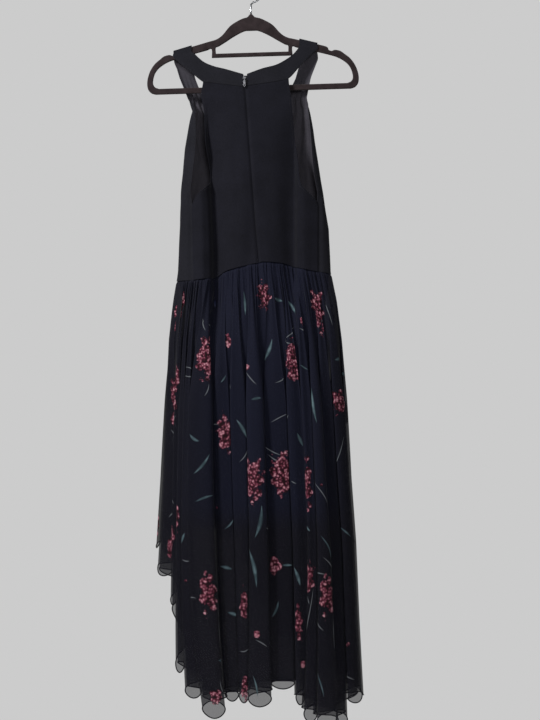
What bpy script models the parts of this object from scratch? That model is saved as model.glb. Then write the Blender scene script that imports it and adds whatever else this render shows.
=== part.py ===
"""A sleeveless dress with a gathered chiffon skirt, hung on a slim flocked hanger.

Sizes are in metres. +Z is up, -Y is the side of the zip and +X is to the right of someone who faces the zip.
The origin is inside the top of the hook, where the rail touches it.
"""

import math

import bmesh
import bpy
import numpy as np
from mathutils import Matrix, Vector

SEAM_GAP = 0.0004
FACE_GAP = 0.0003
CREPE = 0.0015
CHIFFON = 0.0012
LINING = 0.0010
BAND = 0.0020

# Plan sections of the worn-round cloth: height, left and right side, and how far the back and the front stand off.
SECTIONS = (
    # z, left, right, back, front
    (-0.140, -0.165, 0.145, 0.0070, 0.0080),
    (-0.160, -0.162, 0.141, 0.0090, 0.0100),
    (-0.198, -0.151, 0.126, 0.0120, 0.0150),
    (-0.240, -0.134, 0.118, 0.0160, 0.0230),
    (-0.269, -0.122, 0.122, 0.0190, 0.0280),
    (-0.311, -0.130, 0.130, 0.0220, 0.0340),
    (-0.353, -0.137, 0.137, 0.0240, 0.0380),
    (-0.437, -0.145, 0.151, 0.0280, 0.0430),
    (-0.521, -0.149, 0.164, 0.0300, 0.0440),
    (-0.610, -0.153, 0.167, 0.0320, 0.0460),
    (-0.668, -0.161, 0.179, 0.0370, 0.0510),
    (-0.752, -0.171, 0.189, 0.0440, 0.0570),
    (-0.878, -0.178, 0.198, 0.0520, 0.0640),
    (-1.046, -0.184, 0.205, 0.0600, 0.0710),
    (-1.172, -0.191, 0.214, 0.0650, 0.0750),
    (-1.340, -0.201, 0.221, 0.0700, 0.0790),
    (-1.508, -0.211, 0.230, 0.0740, 0.0820),
    (-1.600, -0.216, 0.234, 0.0760, 0.0840),
)
ROUNDNESS = 2.3

# The waist seam across both halves of the back, from the zip outwards.
WAIST = (
    # share of the half, left z, right z
    (0.000, -0.5939, -0.5920),
    (0.070, -0.5952, -0.5911),
    (0.175, -0.5984, -0.5913),
    (0.280, -0.6018, -0.5919),
    (0.385, -0.6052, -0.5930),
    (0.490, -0.6088, -0.5952),
    (0.560, -0.6131, -0.5979),
    (0.630, -0.6195, -0.6011),
    (0.700, -0.6237, -0.6043),
    (0.800, -0.6261, -0.6068),
    (0.900, -0.6277, -0.6088),
    (1.000, -0.6290, -0.6104),
)
WAIST_LEVEL = -0.610
WAIST_FRONT_Z = -0.632
WAIST_GAP = 0.0008

# Where the back panels end: the armhole down to the underarm, then the side seam.
BACK_EDGES = (
    # z, left, right
    (-0.210, -0.0991, 0.0787),
    (-0.242, -0.1050, 0.0833),
    (-0.274, -0.0975, 0.0868),
    (-0.337, -0.0956, 0.0939),
    (-0.379, -0.0897, 0.0990),
    (-0.411, -0.0875, 0.1031),
    (-0.430, -0.0966, 0.1102),
    (-0.450, -0.1089, 0.1288),
    (-0.465, -0.1234, 0.1391),
    (-0.495, -0.1224, 0.1391),
    (-0.633, -0.1183, 0.1381),
)
# Where the front panels end once they have turned round the side to the back.
FRONT_EDGES = (
    # z, left, right
    (-0.269, -0.1187, 0.1190),
    (-0.290, -0.1155, 0.1219),
    (-0.332, -0.1145, 0.1255),
    (-0.374, -0.1176, 0.1281),
    (-0.416, -0.1225, 0.1330),
    (-0.460, -0.1275, 0.1422),
    (-0.490, -0.1265, 0.1422),
    (-0.630, -0.1223, 0.1412),
)
# The height from which the front panels turn round the side, and over how much height they begin to.
TURN_Z = -0.239
TURN_HEIGHT = 0.030
# The front neckline, a deep V that closes on the centre front seam.
NECKLINE = (
    # z, left, right
    (-0.140, -0.1260, 0.1050),
    (-0.160, -0.1260, 0.1050),
    (-0.198, -0.1185, 0.0940),
    (-0.227, -0.1071, 0.0840),
    (-0.269, -0.0861, 0.0672),
    (-0.316, -0.0525, 0.0357),
    (-0.366, 0.0000, 0.0006),
    (-0.630, 0.0000, 0.0006),
)
ZIP_TOP_X = -0.0137
ZIP_WAIST_X = 0.0158
ZIP_TOP_Z = -0.203
SLIDER_CLEAR = 0.0007

# The front stands this much further off where it passes the hanger's lower bar.
FRONT_CLEAR = 0.0060
FRONT_CLEAR_Z = -0.285
FRONT_CLEAR_HEIGHT = 0.035
# Soft folds that fan down the front: how far they stand out, how many there are on each half, and how they lean.
FAN_HEIGHT = 0.0026
FAN_COUNT = 5
FAN_LEAN = 0.06
FAN_TOP_Z = -0.165
FAN_LOW_Z = -0.500

# Soft vertical hollows that run down the back bodice and die out in the skirt.
HOLLOWS = (
    # upper x, waist x, half width, depth, top z, full z, fade z, end z
    (-0.092, -0.067, 0.0110, 0.0150, -0.280, -0.540, -0.650, -0.820),
    (0.086, 0.097, 0.0080, 0.0100, -0.260, -0.500, -0.640, -0.780),
    (-0.036, -0.030, 0.0160, 0.0030, -0.360, -0.540, -0.640, -0.760),
)

# Skirt folds across the back, each from its left valley: where that valley lies at waist, knee and hem.
BACK_FOLDS = (
    # waist x, knee x, hem x, height, set forward, hem z
    (-0.137, -0.158, -0.161, 0.0080, 0.000, -1.295),
    (-0.126, -0.148, -0.149, 0.0110, -0.001, -1.429),
    (-0.114, -0.138, -0.129, 0.0140, -0.002, -1.477),
    (-0.099, -0.125, -0.094, 0.0190, 0.004, -1.510),
    (-0.069, -0.076, -0.050, 0.0120, -0.012, -1.484),
    (-0.047, -0.040, -0.022, 0.0120, -0.006, -1.485),
    (-0.017, -0.006, -0.003, 0.0180, 0.004, -1.487),
    (0.015, 0.029, 0.042, 0.0130, -0.010, -1.459),
    (0.055, 0.077, 0.092, 0.0110, 0.000, -1.489),
    (0.075, 0.107, 0.108, 0.0140, 0.002, -1.522),
    (0.098, 0.126, 0.133, 0.0190, 0.004, -1.535),
    (0.117, 0.147, 0.172, 0.0120, -0.006, -1.545),
    (0.136, 0.173, 0.197, 0.0140, 0.000, -1.499),
)
BACK_END = (0.158, 0.196, 0.226)
# Skirt folds across the front, from the right side seam to the left one.
FRONT_FOLDS = (
    # height, set forward, hem z
    (0.0110, 0.002, -1.499),
    (0.0130, -0.002, -1.492),
    (0.0170, 0.003, -1.480),
    (0.0140, -0.003, -1.460),
    (0.0180, 0.002, -1.400),
    (0.0130, -0.004, -1.310),
    (0.0170, 0.003, -1.230),
    (0.0140, -0.002, -1.186),
    (0.0180, 0.002, -1.166),
    (0.0140, -0.003, -1.160),
    (0.0130, 0.000, -1.165),
    (0.0130, 0.001, -1.190),
    (0.0050, 0.000, -1.240),
)
KNEE_Z = -0.962
HEM_Z = -1.490
SKIRT_TOP_Z = -0.610
BACK_COLUMNS = 10
FRONT_COLUMNS = 6
BACK_ROWS = (0.0, 0.02, 0.05, 0.10, 0.18, 0.29, 0.42, 0.56, 0.70, 0.85, 1.0)
FRONT_ROWS = (0.0, 0.03, 0.08, 0.16, 0.29, 0.46, 0.64, 0.82, 1.0)
SIDE_SEAM_GAP = 0.0010
GATHER_COLUMNS = 4
GATHER_SEAM = 0.0006
GATHER_FULL = 0.0024
GATHER_LENGTH = 0.070
GATHER_START = 0.012
# Folds at the waist have this share of their full height, and reach it all at this share of the skirt's length.
FOLD_AT_WAIST = 0.04
FOLD_FULL_AT = 0.56
# How far a fold leans out over its valleys, as a share of its width.
OMEGA = 0.11
SIDE_EASE = 0.45
# Each fold's hem stays level over most of its width and steps to its neighbour's near the valley.
HEM_FLATNESS = 2.6

LINING_SECTIONS = (
    # z, left, right, half depth
    (-0.600, -0.138, 0.150, 0.0090),
    (-0.700, -0.125, 0.155, 0.0140),
    (-0.850, -0.092, 0.166, 0.0240),
    (-1.000, -0.076, 0.173, 0.0300),
    (-1.122, -0.070, 0.176, 0.0330),
)
LINING_COLUMNS = 32
LINING_ROWS = (0.0, 0.012, 0.035, 0.080, 0.150, 0.300, 0.520, 0.760, 1.0)
LINING_TOP_INSET = 0.0021
LINING_OVERLAP = 0.003
LINING_SLOPE = 0.40
LINING_FALL_IN = 0.005
LINING_DRAW_IN = 0.080
# The lining passes behind a hollow in a wider curve, read at these distances to its sides.
LINING_REACH = (-0.009, -0.0045, 0.0, 0.0045, 0.009)

# The neckband, from the zip to the top of the hanger's arm, and on to the shoulder seam in front of it.
BAND_RUNGS = {
    # top edge x, top edge z, low edge x, low edge z
    -1: (
        (-0.0157, -0.1975, -0.0142, -0.2244),
        (-0.0520, -0.1868, -0.0556, -0.2192),
        (-0.0770, -0.1803, -0.0821, -0.2155),
        (-0.0969, -0.1718, -0.1000, -0.2130),
        (-0.1094, -0.1618, -0.1230, -0.1942),
        (-0.1178, -0.1534, -0.1480, -0.1733),
    ),
    1: (
        (-0.0082, -0.1970, -0.0097, -0.2223),
        (0.0232, -0.1852, 0.0319, -0.2161),
        (0.0524, -0.1770, 0.0604, -0.2109),
        (0.0733, -0.1656, 0.0803, -0.2046),
        (0.0879, -0.1545, 0.1025, -0.1796),
        (0.0984, -0.1420, 0.1255, -0.1545),
    ),
}
BAND_CENTRE_X = -0.0116
ARM_BAND_INNER = 0.113
ARM_BAND_OUTER = 0.151
BAND_FRONT_DROP = -0.0160

HANGER_THICK = 0.0050
HANGER_EDGE = 0.0006
# The rounded ends are solids of their own from here outwards, so that their collision stays open inside.
HANGER_END_X = 0.160
# Between the arms and the trouser bar, measured down from the crest.
HANGER_BAR_DROP = 0.120
HANGER_MERGE = 0.00002
HANGER_CREST_Z = -0.0741
HANGER_TILT = math.radians(1.8)
# Half outlines of the moulded frame: distance from the middle, and drop below the crest.
FRAME_OUTER = (
    (0.0026, -0.0060), (0.0040, -0.0045), (0.0085, 0.0000), (0.0180, 0.0025), (0.0300, 0.0080), (0.0430, 0.0160),
    (0.0510, 0.0240), (0.0580, 0.0325), (0.0670, 0.0405), (0.0770, 0.0455), (0.0890, 0.0485), (0.1250, 0.0580),
    (0.1560, 0.0665), (0.1610, 0.0735), (0.1670, 0.0760), (0.1740, 0.0740), (0.1850, 0.0765), (0.1940, 0.0830),
    (0.2040, 0.0910), (0.2110, 0.0995), (0.2160, 0.1080), (0.2195, 0.1170), (0.2218, 0.1260), (0.2225, 0.1360),
    (0.2205, 0.1460), (0.2140, 0.1535), (0.2050, 0.1565),
)
ARM_START = 10
ARM_END = 12
FRAME_ARCH = (
    (0.0120, 0.0285), (0.0230, 0.0325), (0.0400, 0.0415), (0.0520, 0.0490), (0.0690, 0.0590), (0.0760, 0.0622),
    (0.0760, 0.0745),
)
FRAME_WINDOW = (
    (0.0850, 0.0830), (0.0850, 0.0645), (0.0960, 0.0672), (0.1260, 0.0745), (0.1650, 0.0850), (0.1820, 0.0915),
    (0.1950, 0.1000), (0.2026, 0.1080), (0.2070, 0.1165), (0.2095, 0.1260), (0.2098, 0.1340), (0.2060, 0.1410),
    (0.1980, 0.1445),
)
HOOK_WIRE = 0.0018
HOOK_RADIUS = 0.0225
HOOK_START = math.radians(-78)
HOOK_TIP = math.radians(205)
HOOK_STEPS = 26

SLIDER_WIDTH = 0.0050
SLIDER_HEIGHT = 0.0080
SLIDER_DEPTH = 0.0018
EAR_X = 0.0018
EAR_THICK = 0.0007
EAR_RADIUS = 0.0014
PIN_RADIUS = 0.0006
PIN_OFF = 0.0026
PULL_EYE = 0.0014
PULL_BORE = 0.0009
PULL_WIDTH = 0.0044
PULL_LENGTH = 0.0140
PULL_THICK = 0.0010
ZIP_WIDTH = 0.0060
ZIP_THICK = 0.0012

RING_STEPS = 256
RING_LEVELS = np.linspace(-0.130, -1.620, 150)


def column(table, index):
    return np.array([row[index] for row in table])


def along(table, z, index):
    """A column of a table that runs downwards, read at height z."""
    return np.interp(-np.asarray(z), -column(table, 0), column(table, index))


def smooth(value):
    value = np.clip(value, 0.0, 1.0)
    return value * value * (3 - 2 * value)


def ring_at(z):
    """Points of the plan section at one height, evenly spaced: left side, back, right side, front."""
    left, right, back, front = (float(along(SECTIONS, z, k)) for k in (1, 2, 3, 4))
    turn = np.linspace(0, 2 * math.pi, 1441)
    cos, sin = np.cos(turn), np.sin(turn)
    power = 2 / ROUNDNESS
    x = (left + right) / 2 - (right - left) / 2 * np.sign(cos) * np.abs(cos) ** power
    y = -np.sign(sin) * np.abs(sin) ** power * np.where(sin > 0, back, front)
    length = np.concatenate(([0.0], np.cumsum(np.hypot(np.diff(x), np.diff(y)))))
    share = np.linspace(0, length[-1], RING_STEPS + 1)[:-1]
    return np.interp(share, length, x), np.interp(share, length, y), length[-1]


RINGS = [ring_at(z) for z in RING_LEVELS]
RING_X = np.array([ring[0] for ring in RINGS])
RING_Y = np.array([ring[1] for ring in RINGS])
RING_LENGTH = np.array([ring[2] for ring in RINGS])


def read_grid(grid, around, z):
    """Reads a ring grid between its points. around is the share of the way round, from the left side by the back."""
    level = np.interp(-z, -RING_LEVELS, np.arange(len(RING_LEVELS)))
    low = np.minimum(level.astype(int), len(RING_LEVELS) - 2)
    down = level - low
    place = (around % 1.0) * RING_STEPS
    first = place.astype(int) % RING_STEPS
    second = (first + 1) % RING_STEPS
    on = place - np.floor(place)
    upper = grid[low, first] * (1 - on) + grid[low, second] * on
    lower = grid[low + 1, first] * (1 - on) + grid[low + 1, second] * on
    return upper * (1 - down) + lower * down


def cloth_point(around, z, out):
    """A point on the plan section, moved outwards by out."""
    around, z = np.broadcast_arrays(np.asarray(around, float), np.asarray(z, float))
    step = 0.004
    x, y = read_grid(RING_X, around, z), read_grid(RING_Y, around, z)
    run_x = read_grid(RING_X, around + step, z) - read_grid(RING_X, around - step, z)
    run_y = read_grid(RING_Y, around + step, z) - read_grid(RING_Y, around - step, z)
    run = np.hypot(run_x, run_y)
    return np.stack([x + run_y / run * out, y - run_x / run * out, z], axis=-1)


def around_at(x, z, side):
    """The share of the way round at which the back or the front of the section at height z has this x."""
    level = float(np.interp(-z, -RING_LEVELS, np.arange(len(RING_LEVELS))))
    low = min(int(level), len(RING_LEVELS) - 2)
    xs = RING_X[low] * (1 - level + low) + RING_X[low + 1] * (level - low)
    half = RING_STEPS // 2
    if side == "back":
        return float(np.interp(x, xs[: half + 1], np.arange(half + 1)) / RING_STEPS)
    front = np.append(xs[half:], xs[0])[::-1]
    return float(np.interp(x, front, np.arange(RING_STEPS, half - 1, -1)) / RING_STEPS)


def waist_seam():
    """The waist seam as shares of the way round and heights, from the left side seam by the back."""
    left, right = float(along(BACK_EDGES, WAIST_LEVEL, 1)), float(along(BACK_EDGES, WAIST_LEVEL, 2))
    places = [ZIP_WAIST_X + (left - ZIP_WAIST_X) * row[0] for row in reversed(WAIST)]
    places += [ZIP_WAIST_X + (right - ZIP_WAIST_X) * row[0] for row in WAIST[1:]]
    places = [around_at(x, WAIST_LEVEL, "back") for x in places]
    heights = [row[1] for row in reversed(WAIST)] + [row[2] for row in WAIST[1:]]
    return places + [0.75, 1.0 + places[0]], heights + [WAIST_FRONT_Z, heights[0]]


WAIST_PLACES, WAIST_HEIGHTS = waist_seam()


def waist_z(around):
    """Height of the waist seam, given the share of the way round."""
    first = WAIST_PLACES[0]
    return np.interp((np.asarray(around) - first) % 1.0 + first, WAIST_PLACES, WAIST_HEIGHTS)


def hollow(x, z):
    """How far the vertical hollows draw the back in."""
    drawn = 0.0
    for upper, lower, half, depth, top, full, fade, end in HOLLOWS:
        strength = smooth((top - z) / (top - full)) * smooth((z - end) / (fade - end))
        centre = upper + (lower - upper) * smooth((top - z) / (top - WAIST_LEVEL))
        drawn = drawn + depth * strength * np.exp(-(((x - centre) / half) ** 2))
    return drawn


def zip_x(z):
    return ZIP_TOP_X + (ZIP_WAIST_X - ZIP_TOP_X) * (ZIP_TOP_Z - z) / (ZIP_TOP_Z - WAIST[0][1])


def band_low_z(x, side):
    """Height of the neckband's lower edge, on which the back panels hang."""
    return float(np.interp(side * x, side * column(BAND_RUNGS[side], 2), column(BAND_RUNGS[side], 3)))


def material(name, colour, roughness, metallic=0.0):
    made = bpy.data.materials.new(name)
    made.use_nodes = True
    shader = made.node_tree.nodes["Principled BSDF"]
    shader.inputs["Base Color"].default_value = (*colour, 1.0)
    shader.inputs["Roughness"].default_value = roughness
    shader.inputs["Metallic"].default_value = metallic
    return made


def place(obj, finish, parts):
    obj.data.materials.append(finish)
    parts.objects.link(obj)
    return obj


def wall(name, points, thickness, finish, parts):
    """A cloth wall: rows of points joined into an open surface, thickened equally to both sides."""
    rows, columns = points.shape[:2]
    mesh = bpy.data.meshes.new(name)
    bm = bmesh.new()
    verts = [[bm.verts.new(points[r, c]) for c in range(columns)] for r in range(rows)]
    for r in range(rows - 1):
        for c in range(columns - 1):
            bm.faces.new((verts[r][c], verts[r][c + 1], verts[r + 1][c + 1], verts[r + 1][c]))
    bm.to_mesh(mesh)
    bm.free()
    mesh.shade_smooth()
    obj = place(bpy.data.objects.new(name, mesh), finish, parts)
    skin = obj.modifiers.new("thickness", "SOLIDIFY")
    skin.thickness = thickness
    skin.offset = 0.0
    return obj


def back_panel(name, side, finish, parts):
    """Half of the back bodice, from the zip out to the armhole and side seam."""
    rows = (0.0, 0.05, 0.13, 0.24, 0.36, 0.46, 0.535, 0.575, 0.615, 0.66, 0.74, 0.86, 1.0)
    columns = column(WAIST, 0)
    edge = 1 if side < 0 else 2
    points = np.zeros((len(rows), len(columns), 3))
    for c, share in enumerate(columns):
        near = ZIP_TOP_X + side * SEAM_GAP
        x = near + share * (BACK_EDGES[0][edge] - near)
        top = band_low_z(x, side) - SEAM_GAP
        for r, down in enumerate(rows):
            for _ in range(6):
                seam = float(waist_z(around_at(x, WAIST_LEVEL, "back")))
                z = top + (seam + WAIST_GAP / 2 - top) * down
                inner = zip_x(z) + side * SEAM_GAP / 2
                x = inner + share * (float(along(BACK_EDGES, z, edge)) - inner)
            around = around_at(x, z, "back")
            points[r, c] = cloth_point(around, z, -hollow(x, z))
    order = points if side > 0 else points[:, ::-1]
    return wall(name, order, CREPE, finish, parts)


def front_out(share, z, side):
    """Soft folds that fan down the front from the shoulder."""
    strength = smooth((FAN_TOP_Z - z) / 0.08) * (1 - 0.75 * smooth((FAN_LOW_Z - z) / 0.12))
    lean = share + FAN_LEAN * np.sin(9 * z) * side
    edge = np.sin(math.pi * np.clip(share, 0, 1)) ** 0.5
    return FAN_HEIGHT * strength * np.sin(2 * math.pi * FAN_COUNT * lean) * edge


def front_panel(name, side, finish, parts):
    """Half of the front bodice, from the neckline and centre seam round the side to the armhole and side seam."""
    rows = (0.0, 0.04, 0.10, 0.17, 0.235, 0.29, 0.36, 0.44, 0.53, 0.62, 0.70, 0.84, 1.0)
    columns = np.concatenate([np.linspace(0, 2 / 3, 13), np.linspace(2 / 3, 1, 11)[1:]])
    edge = 1 if side < 0 else 2
    points = np.zeros((len(rows), len(columns), 3))
    for c, share in enumerate(columns):
        out = ARM_BAND_INNER + (ARM_BAND_OUTER - ARM_BAND_INNER) * share
        top_x, top = arm_place(side, out, BAND_FRONT_DROP - SEAM_GAP)
        around = 0.75
        for r, down in enumerate(rows):
            z = top + (float(waist_z(around)) + WAIST_GAP / 2 - top) * down
            for _ in range(4):
                inner = around_at(float(along(NECKLINE, z, edge)), z, "front")
                turned = smooth((TURN_Z - z) / TURN_HEIGHT)
                wrapped = around_at(float(along(FRONT_EDGES, z, edge)), z, "back")
                if side < 0:
                    end = 1.0 + wrapped * turned
                else:
                    end = 0.5 - (0.5 - wrapped) * turned
                around = inner + share * (end - inner)
                z = top + (float(waist_z(around)) + WAIST_GAP / 2 - top) * down
            point = cloth_point(around, z, front_out(share, z, side))
            point[1] += FRONT_CLEAR * smooth((z - FRONT_CLEAR_Z) / FRONT_CLEAR_HEIGHT)
            points[r, c] = point
        points[0, c, :2] = (top_x, HANGER_THICK / 2 + SEAM_GAP + BAND / 2)
        points[1, c, 1] = max(points[1, c, 1], points[0, c, 1])
    order = points if side < 0 else points[:, ::-1]
    return wall(name, order, CREPE, finish, parts)


def arm_top_z(x):
    """Height of the straight top edge of the tilted hanger's arm at x."""
    side = 1 if x > 0 else -1
    ends = []
    for out, drop in (FRAME_OUTER[ARM_START], FRAME_OUTER[ARM_END]):
        turned_x = side * out * math.cos(HANGER_TILT) + drop * math.sin(HANGER_TILT)
        turned_z = HANGER_CREST_Z + side * out * math.sin(HANGER_TILT) - drop * math.cos(HANGER_TILT)
        ends.append((turned_x, turned_z))
    (x1, z1), (x2, z2) = ends
    return z1 + (z2 - z1) * (x - x1) / (x2 - x1)


def arm_place(side, out, lift):
    """x and z of a place lift above the arm's top edge, out from the middle of the neckband."""
    x = BAND_CENTRE_X + side * out
    return x, arm_top_z(x) + lift


def neckband(name, side, finish, parts):
    """A folded strip from the zip, over the hanger's arm, to the shoulder seam."""
    columns = np.linspace(0, 1, 4)
    rungs = []
    for top_x, top_z, low_x, low_z in BAND_RUNGS[side]:
        rung = []
        for share in columns:
            x = top_x + (low_x - top_x) * share
            z = top_z + (low_z - top_z) * share
            rung.append(cloth_point(around_at(x, z, "back"), z, 0.0))
        rungs.append(rung)
    stand = HANGER_THICK / 2 + FACE_GAP + BAND / 2
    over = (
        # y, height above the arm's top edge
        (-stand - SEAM_GAP, -0.0110),
        (-stand, -0.0030),
        (-stand * 0.92, 0.0009),
        (-stand * 0.50, 0.0016),
        (stand * 0.50, 0.0016),
        (stand * 0.92, 0.0009),
        (stand, -0.0030),
        (stand, BAND_FRONT_DROP),
    )
    for y, lift in over:
        rung = []
        for share in columns:
            x, z = arm_place(side, ARM_BAND_INNER + (ARM_BAND_OUTER - ARM_BAND_INNER) * share, lift)
            rung.append(np.array((x, y, z)))
        rungs.append(rung)
    points = np.array(rungs)
    order = points if side < 0 else points[:, ::-1]
    return wall(name, order, BAND, finish, parts)


def fold_places():
    """The valleys of every skirt fold, as shares of the way round at waist, knee and hem."""
    levels = (SKIRT_TOP_Z, KNEE_Z, HEM_Z)
    back = [[around_at(row[k], z, "back") for k, z in enumerate(levels)] for row in BACK_FOLDS]
    back.append([around_at(x, z, "back") for x, z in zip(BACK_END, levels)])
    first, last = np.array(back[-1]), np.array(back[0]) + 1.0
    front = []
    for k in range(1, len(FRONT_FOLDS)):
        share = (k + 0.20 * math.sin(2.4 * k)) / len(FRONT_FOLDS)
        front.append(first + (last - first) * share)
    return np.array(back + front + [last])


PLACES = fold_places()
HEIGHTS = np.concatenate([column(BACK_FOLDS, 3), column(FRONT_FOLDS, 0)])
FORWARD = np.concatenate([column(BACK_FOLDS, 4), column(FRONT_FOLDS, 1)])
HEMS = np.concatenate([column(BACK_FOLDS, 5), column(FRONT_FOLDS, 2)])


def valley_of(values, index):
    """The mean of the folds on both sides of a valley."""
    return (values[index % len(values)] + values[(index - 1) % len(values)]) / 2


def fold_around(index, across, z, omega):
    """The share of the way round of a point in a fold, which bulges sideways over its valleys."""
    down = (SKIRT_TOP_Z - z) / (SKIRT_TOP_Z - HEM_Z)
    knee = (SKIRT_TOP_Z - KNEE_Z) / (SKIRT_TOP_Z - HEM_Z)
    weights = (
        (down - knee) * (down - 1) / knee,
        down * (down - 1) / (knee * (knee - 1)),
        down * (down - knee) / (1 - knee),
    )
    start = sum(w * PLACES[index, k] for k, w in enumerate(weights))
    end = sum(w * PLACES[index + 1, k] for k, w in enumerate(weights))
    bulge = omega * smooth(down / 0.45) * np.sin(4 * math.pi * (across - 0.5))
    return start + (end - start) * (across + bulge)


def fold_out(index, across, z, count):
    """How far a point in a fold stands out from the plan section, with the small gathers below the waist seam."""
    down = (SKIRT_TOP_Z - z) / (SKIRT_TOP_Z - HEM_Z)
    ridge = (1 - math.cos(2 * math.pi * across)) / 2
    valley = (1 - across) * valley_of(HEIGHTS, index) + across * valley_of(HEIGHTS, index + 1)
    grown = FOLD_AT_WAIST + (1 - FOLD_AT_WAIST) * float(smooth((down + 0.06) / (FOLD_FULL_AT + 0.06)))
    fold = HEIGHTS[index] * ridge - valley * (1 - ridge)
    forward = FORWARD[index] * ridge
    below = max(0.0, float(waist_z(fold_around(index, across, z, 0.0))) - z)
    at_seam = math.exp(-below / GATHER_START)
    fade = math.exp(-((below / GATHER_LENGTH) ** 2)) * (1 - at_seam)
    gather = (GATHER_SEAM * at_seam + GATHER_FULL * fade) * math.sin(2 * math.pi * count / GATHER_COLUMNS)
    return grown * (fold + forward) + gather


def side_ease(around):
    """Folds lie flatter where the skirt turns round at its sides."""
    sideways = abs(math.cos(2 * math.pi * around)) ** 6
    return 1 - SIDE_EASE * sideways


def hem_z(index, across):
    """Height of the hem: nearly level on each fold, stepping to its neighbour's in the valley."""
    ridge = float(smooth(1 - abs(2 * across - 1) ** HEM_FLATNESS))
    valley = (1 - across) * valley_of(HEMS, index) + across * valley_of(HEMS, index + 1)
    return HEMS[index] * ridge + valley * (1 - ridge)


def skirt_panel(name, first, last, per_fold, rows, trim, finish, parts):
    """The gathered skirt from one valley to another, with rows from the waist seam to the hem."""
    steps = (last - first) * per_fold
    points = np.zeros((len(rows), steps + 1, 3))
    for c in range(steps + 1):
        place_in = first + c / per_fold
        index = min(int(place_in + 1e-9), last - 1)
        across = place_in - index
        for r, down in enumerate(rows):
            z = SKIRT_TOP_Z
            for _ in range(4):
                around = float(fold_around(index, across, z, OMEGA))
                top = float(waist_z(around)) - WAIST_GAP / 2
                z = top + (hem_z(index, across) - top) * down
            if c in (0, steps):
                around += trim / 2 / float(np.interp(-z, -RING_LEVELS, RING_LENGTH)) * (1 if c == 0 else -1)
            out = fold_out(index, across, z, c) * side_ease(around)
            flat = cloth_point(around, z, 0.0)
            if flat[1] < 0:
                out -= float(hollow(flat[0], z))
            points[r, c] = cloth_point(around, z, out)
    return wall(name, points, CHIFFON, finish, parts)


def lining_point(around, z, below):
    """A point of the lining, which leaves the waist seam close to the bodice and draws in to a straight slip."""
    ring = cloth_point(around, z, 0.0)
    ring_left, ring_right, ring_back, ring_front = (float(along(SECTIONS, z, k)) for k in (1, 2, 3, 4))
    left, right, deep = (float(along(LINING_SECTIONS, z, k)) for k in (1, 2, 3))
    share = (ring[0] - ring_left) / (ring_right - ring_left)
    stand_off = ring_back if ring[1] < 0 else ring_front
    slip = np.array((left + (right - left) * share, ring[1] * deep / stand_off, z))
    dent = max(float(hollow(ring[0] + reach, z)) for reach in LINING_REACH)
    inset = LINING_TOP_INSET + min(LINING_SLOPE * below, LINING_FALL_IN) + (dent if ring[1] < 0 else 0.0)
    sewn = cloth_point(around, z, -inset)
    return sewn + (slip - sewn) * float(smooth(below / LINING_DRAW_IN))


def lining_panel(name, side, finish, parts):
    """Half of the knee-length lining: side -1 is the back, +1 the front."""
    low = LINING_SECTIONS[-1][0]
    start = 0.0 if side < 0 else 0.5
    edge = 2 * SEAM_GAP / float(np.interp(-WAIST_LEVEL, -RING_LEVELS, RING_LENGTH))
    points = np.zeros((len(LINING_ROWS), LINING_COLUMNS + 1, 3))
    for c in range(LINING_COLUMNS + 1):
        around = start + edge + (0.5 - 2 * edge) * c / LINING_COLUMNS
        seam = float(waist_z(around)) + LINING_OVERLAP
        for r, down in enumerate(LINING_ROWS):
            points[r, c] = lining_point(around, seam + (low - seam) * down, (seam - low) * down)
    return wall(name, points, LINING, finish, parts)


def outline(points):
    """Both halves of a closed outline, in order, from its right half."""
    right = [(x, -drop) for x, drop in points]
    return right + [(-x, z) for x, z in reversed(right)]


def hanger(finish, parts):
    """The flat moulded frame in four solids: the arms with the accessory bar, the trouser bar and both ends."""
    flat = bpy.data.curves.new("hanger", "CURVE")
    flat.dimensions = "2D"
    flat.fill_mode = "BOTH"
    flat.extrude = HANGER_THICK / 2 - HANGER_EDGE
    flat.bevel_depth = HANGER_EDGE
    flat.bevel_resolution = 0
    flat.offset = -HANGER_EDGE
    for half in (FRAME_OUTER, FRAME_ARCH, FRAME_WINDOW):
        spline = flat.splines.new("POLY")
        loop = outline(half)
        spline.points.add(len(loop) - 1)
        for point, (x, z) in zip(spline.points, loop):
            point.co = (x, z, 0, 1)
        spline.use_cyclic_u = True
    whole = bpy.data.objects.new("frame outline", flat)
    parts.objects.link(whole)
    bpy.context.view_layer.update()
    frame = bpy.data.meshes.new_from_object(whole.evaluated_get(bpy.context.evaluated_depsgraph_get()))
    bpy.data.objects.remove(whole)
    stand = Matrix.Rotation(math.radians(90), 4, "X")
    lean = Matrix.Rotation(-HANGER_TILT, 4, "Y")
    near, far = HANGER_END_X - FACE_GAP / 2, HANGER_END_X + FACE_GAP / 2
    middle = (((near, 0, 0), (1, 0, 0)), ((-near, 0, 0), (-1, 0, 0)))
    between = (0, -HANGER_BAR_DROP, 0)
    for name, cuts in (
        # a point on each cut, and the side of it that is taken away
        ("hanger", middle + ((between, (0, -1, 0)),)),
        ("hanger_bar", middle + ((between, (0, 1, 0)),)),
        ("hanger_end_left", (((-far, 0, 0), (1, 0, 0)),)),
        ("hanger_end_right", (((far, 0, 0), (-1, 0, 0)),)),
    ):
        bm = bmesh.new()
        bm.from_mesh(frame)
        bmesh.ops.remove_doubles(bm, verts=bm.verts, dist=HANGER_MERGE)
        for point, side in cuts:
            geometry = bm.verts[:] + bm.edges[:] + bm.faces[:]
            cut = bmesh.ops.bisect_plane(bm, geom=geometry, plane_co=point, plane_no=side, clear_outer=True)
            edges = [item for item in cut["geom_cut"] if isinstance(item, bmesh.types.BMEdge)]
            bmesh.ops.holes_fill(bm, edges=edges, sides=0)
        obj = solid(name, bm, parts)
        obj.data.materials.clear()
        obj.data.materials.append(finish)
        obj.matrix_world = Matrix.Translation((0, 0, HANGER_CREST_Z)) @ lean @ stand


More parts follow.
